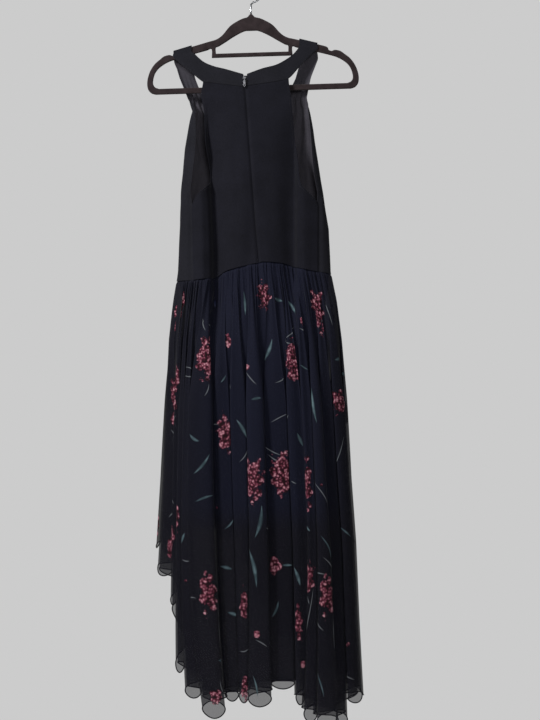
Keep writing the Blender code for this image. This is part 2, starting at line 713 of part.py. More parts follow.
def hook(finish, parts):
    """The wire hook, whose inside top is the origin."""
    curve = bpy.data.curves.new("hanger_hook", "CURVE")
    curve.dimensions = "3D"
    curve.bevel_depth = HOOK_WIRE
    curve.bevel_resolution = 2
    curve.use_fill_caps = True
    centre = -HOOK_RADIUS + HOOK_WIRE
    foot = HANGER_CREST_Z - FRAME_OUTER[0][1] + FACE_GAP
    path = [(0.0, foot), (0.0, foot + 0.006), (0.0, centre - HOOK_RADIUS - 0.004)]
    for k in range(HOOK_STEPS + 1):
        turn = HOOK_START + (HOOK_TIP - HOOK_START) * k / HOOK_STEPS
        path.append((HOOK_RADIUS * math.cos(turn), centre + HOOK_RADIUS * math.sin(turn)))
    spline = curve.splines.new("POLY")
    spline.points.add(len(path) - 1)
    for point, (x, z) in zip(spline.points, path):
        point.co = (x, 0, z, 1)
    return place(bpy.data.objects.new("hanger_hook", curve), finish, parts)


def zip_chain(finish, parts):
    """The closed zip, a narrow strip just behind the centre back seam."""
    levels = np.linspace(ZIP_TOP_Z + 0.004, WAIST[0][1] + 2 * LINING_OVERLAP, 9)
    points = np.zeros((len(levels), 3, 3))
    for r, z in enumerate(levels):
        for c, share in enumerate((-0.5, 0.0, 0.5)):
            x = float(zip_x(z)) + share * ZIP_WIDTH
            inward = -(BAND / 2 + FACE_GAP + ZIP_THICK / 2) - float(hollow(x, z))
            points[r, c] = cloth_point(around_at(x, z, "back"), z, inward)
    return wall("zip_chain", points, ZIP_THICK, finish, parts)


def cylinder(radius, depth, centre, segments=20):
    """A mesh cylinder that lies along X."""
    bm = bmesh.new()
    bmesh.ops.create_cone(
        bm, cap_ends=True, segments=segments, radius1=radius, radius2=radius, depth=depth,
        matrix=Matrix.Translation(centre) @ Matrix.Rotation(math.radians(90), 4, "Y"),
    )
    return bm


def block(size, centre):
    bm = bmesh.new()
    bmesh.ops.create_cube(bm, size=1.0, matrix=Matrix.Translation(centre) @ Matrix.Diagonal((*size, 1.0)))
    return bm


def solid(name, bm, collection):
    mesh = bpy.data.meshes.new(name)
    bm.to_mesh(mesh)
    bm.free()
    obj = bpy.data.objects.new(name, mesh)
    collection.objects.link(obj)
    return obj


def boolean(target, tool, operation):
    change = target.modifiers.new(operation.lower(), "BOOLEAN")
    change.operation = operation
    change.object = tool
    tool.hide_render = True
    tool.display_type = "WIRE"


def slider_face_y():
    """The outer face of the neckband beside the zip."""
    z = ZIP_TOP_Z - SLIDER_HEIGHT / 2
    x = float(zip_x(z))
    return float(cloth_point(around_at(x, z, "back"), z, BAND / 2)[1])


def zip_slider(finish, parts, cutters):
    """The slider's body with two ears that hold the pull's pin."""
    z = ZIP_TOP_Z
    x = float(zip_x(z - SLIDER_HEIGHT / 2))
    face = slider_face_y() - SLIDER_CLEAR
    plate_size = (SLIDER_WIDTH, SLIDER_DEPTH, SLIDER_HEIGHT)
    body = solid("zip_slider", block(plate_size, (x, face - SLIDER_DEPTH / 2, z - SLIDER_HEIGHT / 2)), parts)
    body.data.materials.append(finish)
    pin = pin_place()
    for side in (-1, 1):
        ear = solid(f"ear_{side}", cylinder(EAR_RADIUS, EAR_THICK, (x + side * EAR_X, pin.y, pin.z)), cutters)
        boolean(body, ear, "UNION")
        reach = PIN_OFF + SLIDER_DEPTH / 2
        size = (EAR_THICK, reach, EAR_RADIUS * 2)
        web = solid(f"web_{side}", block(size, (x + side * EAR_X, pin.y + reach / 2, pin.z)), cutters)
        boolean(body, web, "UNION")
    rod = solid("pin", cylinder(PIN_RADIUS, EAR_X * 2, tuple(pin), 16), cutters)
    boolean(body, rod, "UNION")
    return body


def pin_place():
    """The middle of the pin on which the pull turns."""
    z = ZIP_TOP_Z - SLIDER_HEIGHT + EAR_RADIUS + 0.0006
    x = float(zip_x(ZIP_TOP_Z - SLIDER_HEIGHT / 2))
    return Vector((x, slider_face_y() - SLIDER_CLEAR - SLIDER_DEPTH - PIN_OFF, z))


def zip_pull(finish, parts, cutters):
    """The pull tab, an eye round the pin and a flat drop-shaped tab below it."""
    pin = pin_place()
    eye_width = (EAR_X - EAR_THICK / 2 - FACE_GAP) * 2
    obj = solid("zip_pull", cylinder(PULL_EYE, eye_width, (0, 0, 0)), parts)
    obj.data.materials.append(finish)
    obj.location = pin
    neck_low = EAR_RADIUS + 0.0010
    neck = solid("neck", block((eye_width, PULL_THICK, neck_low), (0, 0, -PULL_BORE - neck_low / 2)), cutters)
    tab_top = PULL_BORE + neck_low - 0.0005
    tab = solid("tab", block((PULL_WIDTH, PULL_THICK, PULL_LENGTH), (0, 0, -tab_top - PULL_LENGTH / 2)), cutters)
    bore = solid("bore", cylinder(PULL_BORE, 0.01, (0, 0, 0), 16), cutters)
    for tool, operation in ((neck, "UNION"), (tab, "UNION"), (bore, "DIFFERENCE")):
        tool.location = pin
        boolean(obj, tool, operation)
    return obj


def build():
    for obj in list(bpy.data.objects):
        bpy.data.objects.remove(obj)
    parts = bpy.data.collections.new("dress_on_hanger")
    cutters = bpy.data.collections.new("cutters")
    bpy.context.scene.collection.children.link(parts)
    bpy.context.scene.collection.children.link(cutters)

    crepe = material("black crepe", (0.012, 0.012, 0.018), 0.85)
    chiffon = material("printed chiffon", (0.011, 0.012, 0.018), 0.75)
    slip = material("navy lining", (0.008, 0.010, 0.020), 0.60)
    flock = material("flocked plastic", (0.018, 0.013, 0.014), 0.95)
    steel = material("chromed steel", (0.60, 0.60, 0.62), 0.22, 1.0)
    dark_metal = material("grey metal", (0.25, 0.25, 0.27), 0.35, 1.0)

    hanger(flock, parts)
    hook(steel, parts)
    for word, side in (("left", -1), ("right", 1)):
        neckband(f"neckband_{word}", side, crepe, parts)
        back_panel(f"bodice_back_{word}", side, crepe, parts)
        front_panel(f"bodice_front_{word}", side, crepe, parts)
    back_count = len(BACK_FOLDS)
    every = back_count + len(FRONT_FOLDS)
    skirt_panel("skirt_back", 0, back_count, BACK_COLUMNS, BACK_ROWS, SIDE_SEAM_GAP, chiffon, parts)
    skirt_panel("skirt_front", back_count, every, FRONT_COLUMNS, FRONT_ROWS, SIDE_SEAM_GAP, chiffon, parts)
    lining_panel("lining_back", -1, slip, parts)
    lining_panel("lining_front", 1, slip, parts)
    zip_chain(slip, parts)
    zip_slider(dark_metal, parts, cutters)
    zip_pull(dark_metal, parts, cutters)


build()
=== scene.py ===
import math

import bmesh
import bpy
import numpy as np
from mathutils import Matrix, Vector


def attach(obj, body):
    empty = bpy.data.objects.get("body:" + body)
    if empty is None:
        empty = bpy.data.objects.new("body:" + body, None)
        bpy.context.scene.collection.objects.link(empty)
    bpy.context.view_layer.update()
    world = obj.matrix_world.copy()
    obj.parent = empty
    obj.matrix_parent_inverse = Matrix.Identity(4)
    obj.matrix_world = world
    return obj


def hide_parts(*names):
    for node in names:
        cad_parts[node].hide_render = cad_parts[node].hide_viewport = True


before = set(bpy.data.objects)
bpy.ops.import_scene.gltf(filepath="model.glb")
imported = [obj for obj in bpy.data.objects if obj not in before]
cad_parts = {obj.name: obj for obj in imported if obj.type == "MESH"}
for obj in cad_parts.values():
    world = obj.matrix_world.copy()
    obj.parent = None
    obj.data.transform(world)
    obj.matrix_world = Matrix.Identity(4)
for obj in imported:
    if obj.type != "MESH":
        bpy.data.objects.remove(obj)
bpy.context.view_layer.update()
print("frame loaded:", len(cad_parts), "nodes")

scene = bpy.context.scene
scene.view_settings.view_transform = "Standard"

# The photograph: its camera stands level in front of the skirt, 1.9 m away.
photograph = {
    "place": (0.0399, -1.9, -0.7944),
    "lens": 45.2,
    "sensor": 36.0,
    "background": "#cccccc",
}

# Plan sections of the cloth as it hangs, which every shell below is laid on.
garment = {
    "sections": (
        # z, left, right, back, front
        (-0.140, -0.165, 0.145, 0.0070, 0.0080),
        (-0.160, -0.162, 0.141, 0.0090, 0.0100),
        (-0.198, -0.151, 0.126, 0.0120, 0.0150),
        (-0.240, -0.134, 0.118, 0.0160, 0.0230),
        (-0.269, -0.122, 0.122, 0.0190, 0.0280),
        (-0.311, -0.130, 0.130, 0.0220, 0.0340),
        (-0.353, -0.137, 0.137, 0.0240, 0.0380),
        (-0.437, -0.145, 0.151, 0.0280, 0.0430),
        (-0.521, -0.149, 0.164, 0.0300, 0.0440),
        (-0.610, -0.153, 0.167, 0.0320, 0.0460),
        (-0.668, -0.161, 0.179, 0.0370, 0.0510),
        (-0.752, -0.171, 0.189, 0.0440, 0.0570),
        (-0.878, -0.178, 0.198, 0.0520, 0.0640),
        (-1.046, -0.184, 0.205, 0.0600, 0.0710),
        (-1.172, -0.191, 0.214, 0.0650, 0.0750),
        (-1.340, -0.201, 0.221, 0.0700, 0.0790),
        (-1.508, -0.211, 0.230, 0.0740, 0.0820),
        (-1.600, -0.216, 0.234, 0.0760, 0.0840),
    ),
    "roundness": 2.3,
    # share of the half from the zip, height of the waist seam at the left, at the right
    "waist": (
        (0.000, -0.5939, -0.5920),
        (0.070, -0.5952, -0.5911),
        (0.175, -0.5984, -0.5913),
        (0.280, -0.6018, -0.5919),
        (0.385, -0.6052, -0.5930),
        (0.490, -0.6088, -0.5952),
        (0.560, -0.6131, -0.5979),
        (0.630, -0.6195, -0.6011),
        (0.700, -0.6237, -0.6043),
        (0.800, -0.6261, -0.6068),
        (0.900, -0.6277, -0.6088),
        (1.000, -0.6290, -0.6104),
    ),
    "waistLevel": -0.610,
    "waistFrontZ": -0.632,
    "waistGap": 0.0008,
    "zipTop": (-0.0137, -0.203),
    "zipWaistX": 0.0158,
    # upper x, waist x, reach outwards, reach to the centre, depth, top z, full z, fade z, end z;
    # where the depth is below nought the cloth beside a hollow stands proud
    "hollows": (
        (-0.104, -0.099, 0.0180, 0.0095, -0.0075, -0.330, -0.460, -0.640, -0.740),
        (0.112, 0.111, 0.0160, 0.0095, -0.0040, -0.330, -0.460, -0.640, -0.740),
        (-0.090, -0.077, 0.0050, 0.0300, 0.0195, -0.240, -0.400, -0.650, -0.820),
        (0.093, 0.091, 0.0050, 0.0300, 0.0165, -0.240, -0.380, -0.640, -0.780),
    ),
    "cornerReach": (-0.010, -0.005, 0.0, 0.005, 0.010),
    "outlineSteps": 1441,
    "ringSteps": 256,
    "ringLevels": 150,
    "ringRange": (-0.130, -1.620),
    "runReach": 0.004,  # the share of the way round over which the run of the cloth is read
}


def column(table, index):
    return np.array([row[index] for row in table])


def readDown(table, z, index):  # a column of a table that runs downwards, at height z
    return np.interp(-np.asarray(z), -column(table, 0), column(table, index))


def readSoft(table, z, index):  # the same, with the corners between rows rounded off
    reaches = garment["cornerReach"]
    return sum(readDown(table, np.asarray(z) + reach, index) for reach in reaches) / len(reaches)


def smooth(value):
    value = np.clip(value, 0.0, 1.0)
    return value * value * (3 - 2 * value)


def ringAt(z):  # one plan section: left side, back, right side, front, evenly spaced
    left, right, back, front = (float(readDown(garment["sections"], z, k)) for k in (1, 2, 3, 4))
    turn = np.linspace(0, 2 * math.pi, garment["outlineSteps"])
    cos, sin = np.cos(turn), np.sin(turn)
    power = 2 / garment["roundness"]
    x = (left + right) / 2 - (right - left) / 2 * np.sign(cos) * np.abs(cos) ** power
    y = -np.sign(sin) * np.abs(sin) ** power * np.where(sin > 0, back, front)
    length = np.concatenate(([0.0], np.cumsum(np.hypot(np.diff(x), np.diff(y)))))
    share = np.linspace(0, length[-1], garment["ringSteps"] + 1)[:-1]
    return np.interp(share, length, x), np.interp(share, length, y)


ringLevels = np.linspace(*garment["ringRange"], garment["ringLevels"])
rings = [ringAt(z) for z in ringLevels]
ringX = np.array([ring[0] for ring in rings])
ringY = np.array([ring[1] for ring in rings])


def readRing(grid, around, z):
    level = np.interp(-z, -ringLevels, np.arange(len(ringLevels)))
    low = np.minimum(level.astype(int), len(ringLevels) - 2)
    down = level - low
    place = (around % 1.0) * garment["ringSteps"]
    first = place.astype(int) % garment["ringSteps"]
    second = (first + 1) % garment["ringSteps"]
    on = place - np.floor(place)
    upper = grid[low, first] * (1 - on) + grid[low, second] * on
    lower = grid[low + 1, first] * (1 - on) + grid[low + 1, second] * on
    return upper * (1 - down) + lower * down


def clothPoint(around, z, out):  # a point on the plan section, moved outwards
    around, z, out = np.broadcast_arrays(*(np.asarray(value, float) for value in (around, z, out)))
    reach = garment["runReach"]
    x, y = readRing(ringX, around, z), readRing(ringY, around, z)
    runX = readRing(ringX, around + reach, z) - readRing(ringX, around - reach, z)
    runY = readRing(ringY, around + reach, z) - readRing(ringY, around - reach, z)
    run = np.hypot(runX, runY)
    return np.stack([x + runY / run * out, y - runX / run * out, z], axis=-1)


def aroundAt(x, z, side):  # the share of the way round at which the back or front has this x
    x, z = np.broadcast_arrays(np.asarray(x, float), np.asarray(z, float))
    low = np.full(x.shape, 0.0 if side == "back" else 1.0)
    high = np.full(x.shape, 0.5)
    for _ in range(18):
        middle = (low + high) / 2
        further = readRing(ringX, middle, z) < x
        low, high = np.where(further, middle, low), np.where(further, high, middle)
    return (low + high) / 2


def hollow(x, z):  # how far the soft vertical hollows draw the back in
    drawn = 0.0
    for upper, lower, outwards, inwards, depth, top, full, fade, end in garment["hollows"]:
        strength = smooth((top - z) / (top - full)) * smooth((z - end) / (fade - end))
        centre = upper + (lower - upper) * smooth((top - z) / (top - garment["waistLevel"]))
        half = np.where((x - centre) * upper > 0, outwards, inwards)
        drawn = drawn + depth * strength * np.exp(-(((x - centre) / half) ** 2))
    return drawn


def zipX(z):
    topX, topZ = garment["zipTop"]
    return topX + (garment["zipWaistX"] - topX) * (topZ - z) / (topZ - garment["waist"][0][1])


def ripple(across, down, seed, count, low, high):  # uneven soft waves, the same on each run
    random = np.random.RandomState(seed)
    total = 0.0
    for _ in range(count):
        pitch = random.uniform(low, high)
        drift = random.uniform(-0.25, 0.25)
        phase, fade = random.uniform(0, 2 * math.pi, 2)
        wave = np.sin(2 * math.pi * (across + drift * down) / pitch + phase)
        total = total + wave * (0.6 + 0.4 * np.sin(5.0 * down + fade))
    return total / math.sqrt(count)


def toLinear(code):  # an sRGB hex value as linear red, green, blue, alpha
    parts = [int(code[k:k + 2], 16) / 255 for k in (1, 3, 5)]
    return (*[p / 12.92 if p <= 0.04045 else ((p + 0.055) / 1.055) ** 2.4 for p in parts], 1.0)


def setInputs(tree, node, settings):  # a setting that is a node or a socket is linked
    for name, value in settings.items():
        if isinstance(value, bpy.types.Node):
            value = value.outputs[0]
        if isinstance(value, bpy.types.NodeSocket):
            tree.links.new(value, node.inputs[name])
        elif name == "stops":
            fillRamp(node.color_ramp.elements, value)
        elif isinstance(name, int) or name in node.inputs:
            node.inputs[name].default_value = value
        else:
            setattr(node, name, value)


def addNode(tree, kind, settings):
    node = tree.nodes.new("ShaderNode" + kind)
    setInputs(tree, node, settings)
    return node


def fillRamp(elements, stops):
    while len(elements) < len(stops):
        elements.new(0.5)
    for element, (position, code) in zip(elements, stops):
        element.position, element.color = position, toLinear(code)


def newMaterial(name):  # a material, its node tree and the place on the piece
    made = bpy.data.materials.new(name)
    made.use_nodes = True
    return made, made.node_tree, addNode(made.node_tree, "TexCoord", {}).outputs["Object"]


def finishMaterial(made, settings):
    setInputs(made.node_tree, made.node_tree.nodes["Principled BSDF"], settings)
    return made


def meshObject(name, vertices, faces, material):
    mesh = bpy.data.meshes.new(name)
    mesh.from_pydata([tuple(v) for v in vertices], [], [tuple(f) for f in faces])
    mesh.materials.append(material)
    mesh.shade_smooth()
    piece = bpy.data.objects.new(name, mesh)
    scene.collection.objects.link(piece)
    return piece


def faceCorners(grid):  # the four corners of each face of a grid, a row for each face
    return np.stack([grid[:-1, :-1], grid[:-1, 1:], grid[1:, 1:], grid[1:, :-1]], axis=-1).reshape(-1, 4)


def clothSheet(name, points, material, thickness=0.0, inside=None):  # rows of points joined into a sheet
    rows, columns = points.shape[:2]
    number = np.arange(rows * columns).reshape(rows, columns)
    piece = meshObject(name, points.reshape(-1, 3), faceCorners(number), material)
    if thickness:
        skin = piece.modifiers.new("thickness", "SOLIDIFY")
        skin.thickness = thickness
        skin.offset = 0.0
        if inside:
            piece.data.materials.append(inside)
            skin.material_offset = 1
        edge = piece.modifiers.new("turned edge", "BEVEL")
        edge.width = thickness * 0.35
        edge.segments = 2
        edge.limit_method = "ANGLE"
        edge.angle_limit = math.radians(60)
    return piece


def finishPiece(piece, body, slot, *nodes):  # the piece rides its body and stands for these nodes
    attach(piece, body)
    if nodes:
        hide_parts(*nodes)
    return piece


def tubeAlong(name, points, radius, material, sides=6):
    points = np.asarray(points, float)
    along = np.gradient(points, axis=0)
    along /= np.linalg.norm(along, axis=1)[:, None]
    first = np.cross(along, np.array((0.05, 1.0, 0.02)))
    first /= np.linalg.norm(first, axis=1)[:, None]
    second = np.cross(along, first)
    turn = np.linspace(0, 2 * math.pi, sides, endpoint=False)[None, :, None]
    ring = points[:, None] + radius * (np.cos(turn) * first[:, None] + np.sin(turn) * second[:, None])
    number = np.arange(len(points) * sides).reshape(len(points), sides)
    faces = faceCorners(np.hstack([number, number[:, :1]])).tolist()
    faces += [number[0, ::-1].tolist(), number[-1].tolist()]
    return meshObject(name, ring.reshape(-1, 3), faces, material)


def evenly(points, pitch):  # the same line with points a pitch apart
    points = np.asarray(points, float)
    length = np.concatenate(([0.0], np.cumsum(np.linalg.norm(np.diff(points, axis=0), axis=1))))
    steps = max(2, int(round(length[-1] / pitch)) + 1)
    share = np.linspace(0, length[-1], steps)
    return np.stack([np.interp(share, length, points[:, k]) for k in range(3)], axis=-1)


def smoothLine(points, steps):  # a Catmull-Rom curve through the points
    points = np.asarray(points, float)
    padded = np.concatenate([[2 * points[0] - points[1]], points, [2 * points[-1] - points[-2]]])
    made = []
    for k in range(len(points) - 1):
        a, b, c, d = padded[k:k + 4]
        t = np.linspace(0, 1, steps, endpoint=False).reshape((-1,) + (1,) * (points.ndim - 1))
        bend, twist = 2 * a - 5 * b + 4 * c - d, 3 * b - a - 3 * c + d
        made.append(0.5 * (2 * b + (c - a) * t + bend * t**2 + twist * t**3))
    return np.concatenate(made + [points[-1:]])


# Thread, laid as short stitches that each dip into the cloth at both ends.
sewing = {
    "pitch": 0.0030,
    "share": 0.72,
    "radius": 0.00022,
    "lift": 0.00062,
    "bandLift": 0.00112,
    "inEdge": 4,        # how many points in from a panel's edge the stitches run
    "backArmhole": (-0.222, -0.462),  # from and to which height the armholes are stitched
    "frontArmhole": (-0.262, -0.448),
    "colour": ("#191920", "#23232b"),
    # one stitch from end to end: share of its length, of its thickness, height in its radii
    "profile": (
        (-0.50, 0.15, -0.40),
        (-0.36, 0.85, 0.35),
        (0.00, 1.00, 0.60),
        (0.36, 0.85, 0.35),
        (0.50, 0.15, -0.40),
    ),
}


# Spun polyester sewing thread: dull and twisted, a little lighter than the cloth, so that a seam reads.
def threadMaterial():
    made, tree, place = newMaterial("spunPolyesterThread")
    twist = addNode(tree, "TexWave", {"Scale": 1800.0, "Distortion": 1.0, "Vector": place})
    dye = addNode(tree, "ValToRGB", {"Fac": twist, "stops": tuple(zip((0.0, 1.0), sewing["colour"]))})
    return finishMaterial(made, {"Roughness": 0.62, "Sheen Weight": 0.2, "Base Color": dye})


def stitchesAlong(name, lines, material):  # one mesh of stitches, along lines of points and their normals
    vertices, faces = [], []
    pitch, radius, sides = sewing["pitch"], sewing["radius"], 5
    for points, normals in lines:
        length = np.concatenate(([0.0], np.cumsum(np.linalg.norm(np.diff(points, axis=0), axis=1))))
        for k in range(int(length[-1] / pitch)):
            share = (k + 0.5) * pitch
            centre, front, normal = (
                np.array([np.interp(at, length, values[:, axis]) for axis in range(3)])
                for at, values in ((share, points), (share + pitch * 0.3, points), (share, normals))
            )
            run = (front - centre) / np.linalg.norm(front - centre)
            normal = normal / np.linalg.norm(normal)
            beside = np.cross(run, normal)
            start = len(vertices)
            for along, size, lift in sewing["profile"]:
                middle = centre + run * along * pitch * sewing["share"] + normal * lift * radius
                for turn in np.linspace(0, 2 * math.pi, sides, endpoint=False):
                    ring = math.cos(turn) * beside + math.sin(turn) * normal
                    vertices.append(middle + ring * size * radius)
            number = start + np.arange(len(sewing["profile"]) * sides).reshape(-1, sides)
            faces += faceCorners(np.hstack([number, number[:, :1]])).tolist()
            faces += [number[0, ::-1].tolist(), number[-1].tolist()]
    return meshObject(name, vertices, faces, material)


# One row or column of a panel's points between two heights, raised to the cloth's face, with its normals.
def seamLine(points, row, column, facing, topZ, lowZ, lift=sewing["lift"]):
    runDown, runAcross = np.gradient(points, axis=0), np.gradient(points, axis=1)
    normals = np.cross(runAcross, runDown)
    normals /= np.linalg.norm(normals, axis=2)[..., None]
    line, up = (points[:, column], normals[:, column]) if row is None else (points[row], normals[row])
    kept = (line[:, 2] < topZ) & (line[:, 2] > lowZ)
    line, up = line[kept], up[kept]
    up = up * np.sign(np.median(up[:, 1])) * facing
    return line + up * lift, up


def waistSeam():  # the waist seam from the left side seam by the back: shares of the way round, heights
    table, level = garment["waist"], garment["waistLevel"]
    left, right = (float(readDown(backBodice["edges"], level, k)) for k in (1, 2))
    middle = garment["zipWaistX"]
    places = [middle + (left - middle) * row[0] for row in reversed(table)]
    places += [middle + (right - middle) * row[0] for row in table[1:]]
    places = list(aroundAt(np.array(places), level, "back"))
    heights = [row[1] for row in reversed(table)] + [row[2] for row in table[1:]]
    return places + [0.75, 1.0 + places[0]], heights + [garment["waistFrontZ"], heights[0]]


def waistZ(around):
    first = waistPlaces[0]
    return np.interp((np.asarray(around) - first) % 1.0 + first, waistPlaces, waistHeights)


# The back bodice: two plain panels with the zip between them.
backBodice = {
    # where the panels end, z, left, right: the armhole down to the underarm, then the side seam
    "edges": (
        (-0.210, -0.0991, 0.0787),
        (-0.242, -0.1050, 0.0833),
        (-0.274, -0.0975, 0.0868),
        (-0.337, -0.0956, 0.0939),
        (-0.379, -0.0897, 0.0990),
        (-0.411, -0.0858, 0.1005),
        (-0.432, -0.0868, 0.1040),
        (-0.442, -0.0990, 0.1120),
        (-0.452, -0.1120, 0.1290),
        (-0.466, -0.1210, 0.1391),
        (-0.480, -0.1230, 0.1391),
        (-0.495, -0.1224, 0.1391),
        (-0.633, -0.1183, 0.1381),
    ),
    "columns": 72,
    "rows": 190,
    "thickness": 0.0010,
    "rollIn": 0.0026,       # how far the cloth dips at the centre seam and under the neckband
    "rollWidth": 0.0030,
    "bandDip": 0.8,         # how much of that dip it has under the neckband, and over which height
    "bandDipHeight": 0.0016,
    "drape": 0.0007,        # its faint vertical waves: their height, pitch, top and growth
    "drapePitch": (0.030, 0.075),
    "drapeTop": -0.25,
    "drapeGrowth": 0.2,
    "intoBand": 0.0016,     # how far its top edge goes up inside the folded neckband
    "seamGap": 0.0001,
}
waistPlaces, waistHeights = waistSeam()


def bandLowZ(x, side):
    runs = neckband["runs"][side]
    return np.interp(side * np.asarray(x), side * column(runs, 2), column(runs, 3))


def backPanelPoints(side):
    edge = 1 if side < 0 else 2
    share = np.linspace(0, 1, backBodice["columns"])[None, :]
    down = np.linspace(0, 1, backBodice["rows"])[:, None]
    near = garment["zipTop"][0]
    x = near + share * (backBodice["edges"][0][edge] - near) + 0 * down
    top = bandLowZ(x, side) + backBodice["intoBand"]
    for _ in range(8):
        seam = waistZ(aroundAt(x, garment["waistLevel"], "back"))
        z = top + (seam + garment["waistGap"] / 4 - top) * down
        inner = zipX(z) + side * backBodice["seamGap"]
        x = inner + share * (readSoft(backBodice["edges"], z, edge) - inner)
    fromSeam = np.abs(x - inner)
    roll = np.exp(-((fromSeam / backBodice["rollWidth"]) ** 2))
    roll = roll + backBodice["bandDip"] * np.exp(-(((top - z) / backBodice["bandDipHeight"]) ** 2))
    waves = ripple(x, z, 11 + side, 5, *backBodice["drapePitch"]) * backBodice["drape"]
    waves = waves * smooth((backBodice["drapeTop"] - z) / backBodice["drapeGrowth"])
    return clothPoint(aroundAt(x, z, "back"), z, waves - hollow(x, z) - backBodice["rollIn"] * roll)


# The front bodice, cut in two and gathered softly at the shoulders, turns round the sides to the back.
frontBodice = {
    # where the panels end at the back, z, left, right
    "edges": (
        (-0.269, -0.1187, 0.1190),
        (-0.290, -0.1155, 0.1219),
        (-0.332, -0.1145, 0.1255),
        (-0.374, -0.1176, 0.1281),
        (-0.416, -0.1225, 0.1330),
        (-0.448, -0.1262, 0.1400),
        (-0.470, -0.1222, 0.1380),
        (-0.490, -0.1212, 0.1378),
        (-0.630, -0.1172, 0.1370),
    ),
    "tuckIn": 0.0022,   # how far its side edge lies inside the back panel's
    # the V neckline, z, left, right
    "neckline": (
        (-0.140, -0.1260, 0.1050),
        (-0.160, -0.1260, 0.1050),
        (-0.198, -0.1185, 0.0940),
        (-0.227, -0.1071, 0.0795),
        (-0.269, -0.0861, 0.0645),
        (-0.316, -0.0525, 0.0357),
        (-0.366, 0.0000, 0.0003),
        (-0.630, 0.0000, 0.0003),
    ),
    "turnZ": -0.239,
    "turnHeight": 0.030,
    "columns": 110,
    "rows": 170,
    "thickness": 0.0010,
    "foldHeight": 0.0024,
    "foldCount": 4,
    "foldLean": 0.06,
    "foldTopZ": -0.180,
    "foldLowZ": -0.500,
    "foldGrowth": 0.12,
    "foldLeft": 0.25,       # the share of the folds' height that is left at the waist
    "fineFold": 0.0007,
    "finePitch": (0.011, 0.022),
    "fineWidth": 0.17,
    # from which share of its width, and from which height, its edge tucks in, and over how much of each
    "tuckAcross": (0.93, 0.05),
    "tuckBelow": (-0.440, 0.02),
    "intoBand": 0.004,
    "sewnShare": 0.045,     # the share of its length that follows the neckband
    # how far, from which height and over how much height it passes the hanger's bar
    "barClear": (0.0060, -0.285, 0.035),
}


def frontFolds(share, z, side):
    fan = frontBodice
    grown, faded = (smooth((fan[key] - z) / fan["foldGrowth"]) for key in ("foldTopZ", "foldLowZ"))
    strength = grown * (1 - (1 - fan["foldLeft"]) * faded)
    lean = share + fan["foldLean"] * np.sin(9 * z) * side
    edge = np.sin(math.pi * np.clip(share, 0, 1)) ** 0.5
    wave = fan["foldHeight"] * np.sin(2 * math.pi * fan["foldCount"] * lean)
    fine = fan["fineFold"] * ripple(lean * fan["fineWidth"], z, 23 + side, 4, *fan["finePitch"])
    return strength * (wave + fine) * edge


def frontPanelPoints(side):
    fan, edge = frontBodice, 1 if side < 0 else 2
    half = fan["columns"] // 2
    share = np.concatenate([np.linspace(0, 2 / 3, half), np.linspace(2 / 3, 1, half + 1)[1:]])[None, :]
    down = np.linspace(0, 1, fan["rows"])[:, None]
    out = bandOut(share)
    topX, top = armPlace(side, out, neckband["frontDrop"] + fan["intoBand"])
    around = np.full((fan["rows"], share.shape[1]), 0.75)
    for _ in range(8):
        z = top + (waistZ(around) + garment["waistGap"] / 4 - top) * down
        inner = aroundAt(readDown(fan["neckline"], z, edge), z, "front")
        turned = smooth((fan["turnZ"] - z) / fan["turnHeight"])
        wrapped = aroundAt(readSoft(fan["edges"], z, edge), z, "back")
        end = 1.0 + wrapped * turned if side < 0 else 0.5 - (0.5 - wrapped) * turned
        around = inner + share * (end - inner)
    x = readRing(ringX, around, z)
    (tuckShare, tuckWide), (tuckZ, tuckHigh) = fan["tuckAcross"], fan["tuckBelow"]
    inside = smooth((share - tuckShare) / tuckWide) * smooth((tuckZ - z) / tuckHigh) * fan["tuckIn"]
    behind = np.where(readRing(ringY, around, z) < 0, hollow(x, z), 0.0)
    points = clothPoint(around, z, frontFolds(share, z, side) - inside - behind)
    clear, clearZ, clearHeight = fan["barClear"]
    points[..., 1] += clear * smooth((z - clearZ) / clearHeight)
    sewn = smooth(down / fan["sewnShare"])
    topY = bandStand()
    points[..., 0] = topX + (points[..., 0] - topX) * sewn
    points[..., 1] = topY + (points[..., 1] - topY) * sewn
    return points


# The hanger: a slim moulded frame, seen from behind the dress.
frameHanger = {
    "thick": 0.0050,
    "edge": 0.0021,
    "crestZ": -0.0741,
    "tilt": math.radians(1.8),
    # half outlines: distance from the middle, drop below the crest
    "outer": (
        (0.0026, -0.0060), (0.0040, -0.0045), (0.0085, 0.0000), (0.0180, 0.0025), (0.0300, 0.0080),
        (0.0430, 0.0160), (0.0510, 0.0240), (0.0580, 0.0325), (0.0670, 0.0405), (0.0770, 0.0455),
        (0.0890, 0.0485), (0.1250, 0.0580), (0.1560, 0.0665), (0.1610, 0.0735), (0.1670, 0.0760),
        (0.1740, 0.0740), (0.1850, 0.0765), (0.1940, 0.0830), (0.2040, 0.0910), (0.2110, 0.0995),
        (0.2160, 0.1080), (0.2195, 0.1170), (0.2218, 0.1260), (0.2225, 0.1360), (0.2205, 0.1460),
        (0.2140, 0.1535), (0.2050, 0.1565),
    ),
    "arch": (
        (0.0120, 0.0285), (0.0230, 0.0325), (0.0400, 0.0415), (0.0520, 0.0490), (0.0690, 0.0590),
        (0.0760, 0.0622), (0.0760, 0.0745),
    ),
    "window": (
        (0.0850, 0.0830), (0.0850, 0.0645), (0.0960, 0.0672), (0.1260, 0.0745), (0.1650, 0.0850),
        (0.1820, 0.0915), (0.1950, 0.1000), (0.2026, 0.1080), (0.2070, 0.1165), (0.2095, 0.1260),
        (0.2098, 0.1340), (0.2060, 0.1410), (0.1980, 0.1445),
    ),
    "armPoints": (10, 12),
    "flock": ("#2a2022", "#45393b"),
}


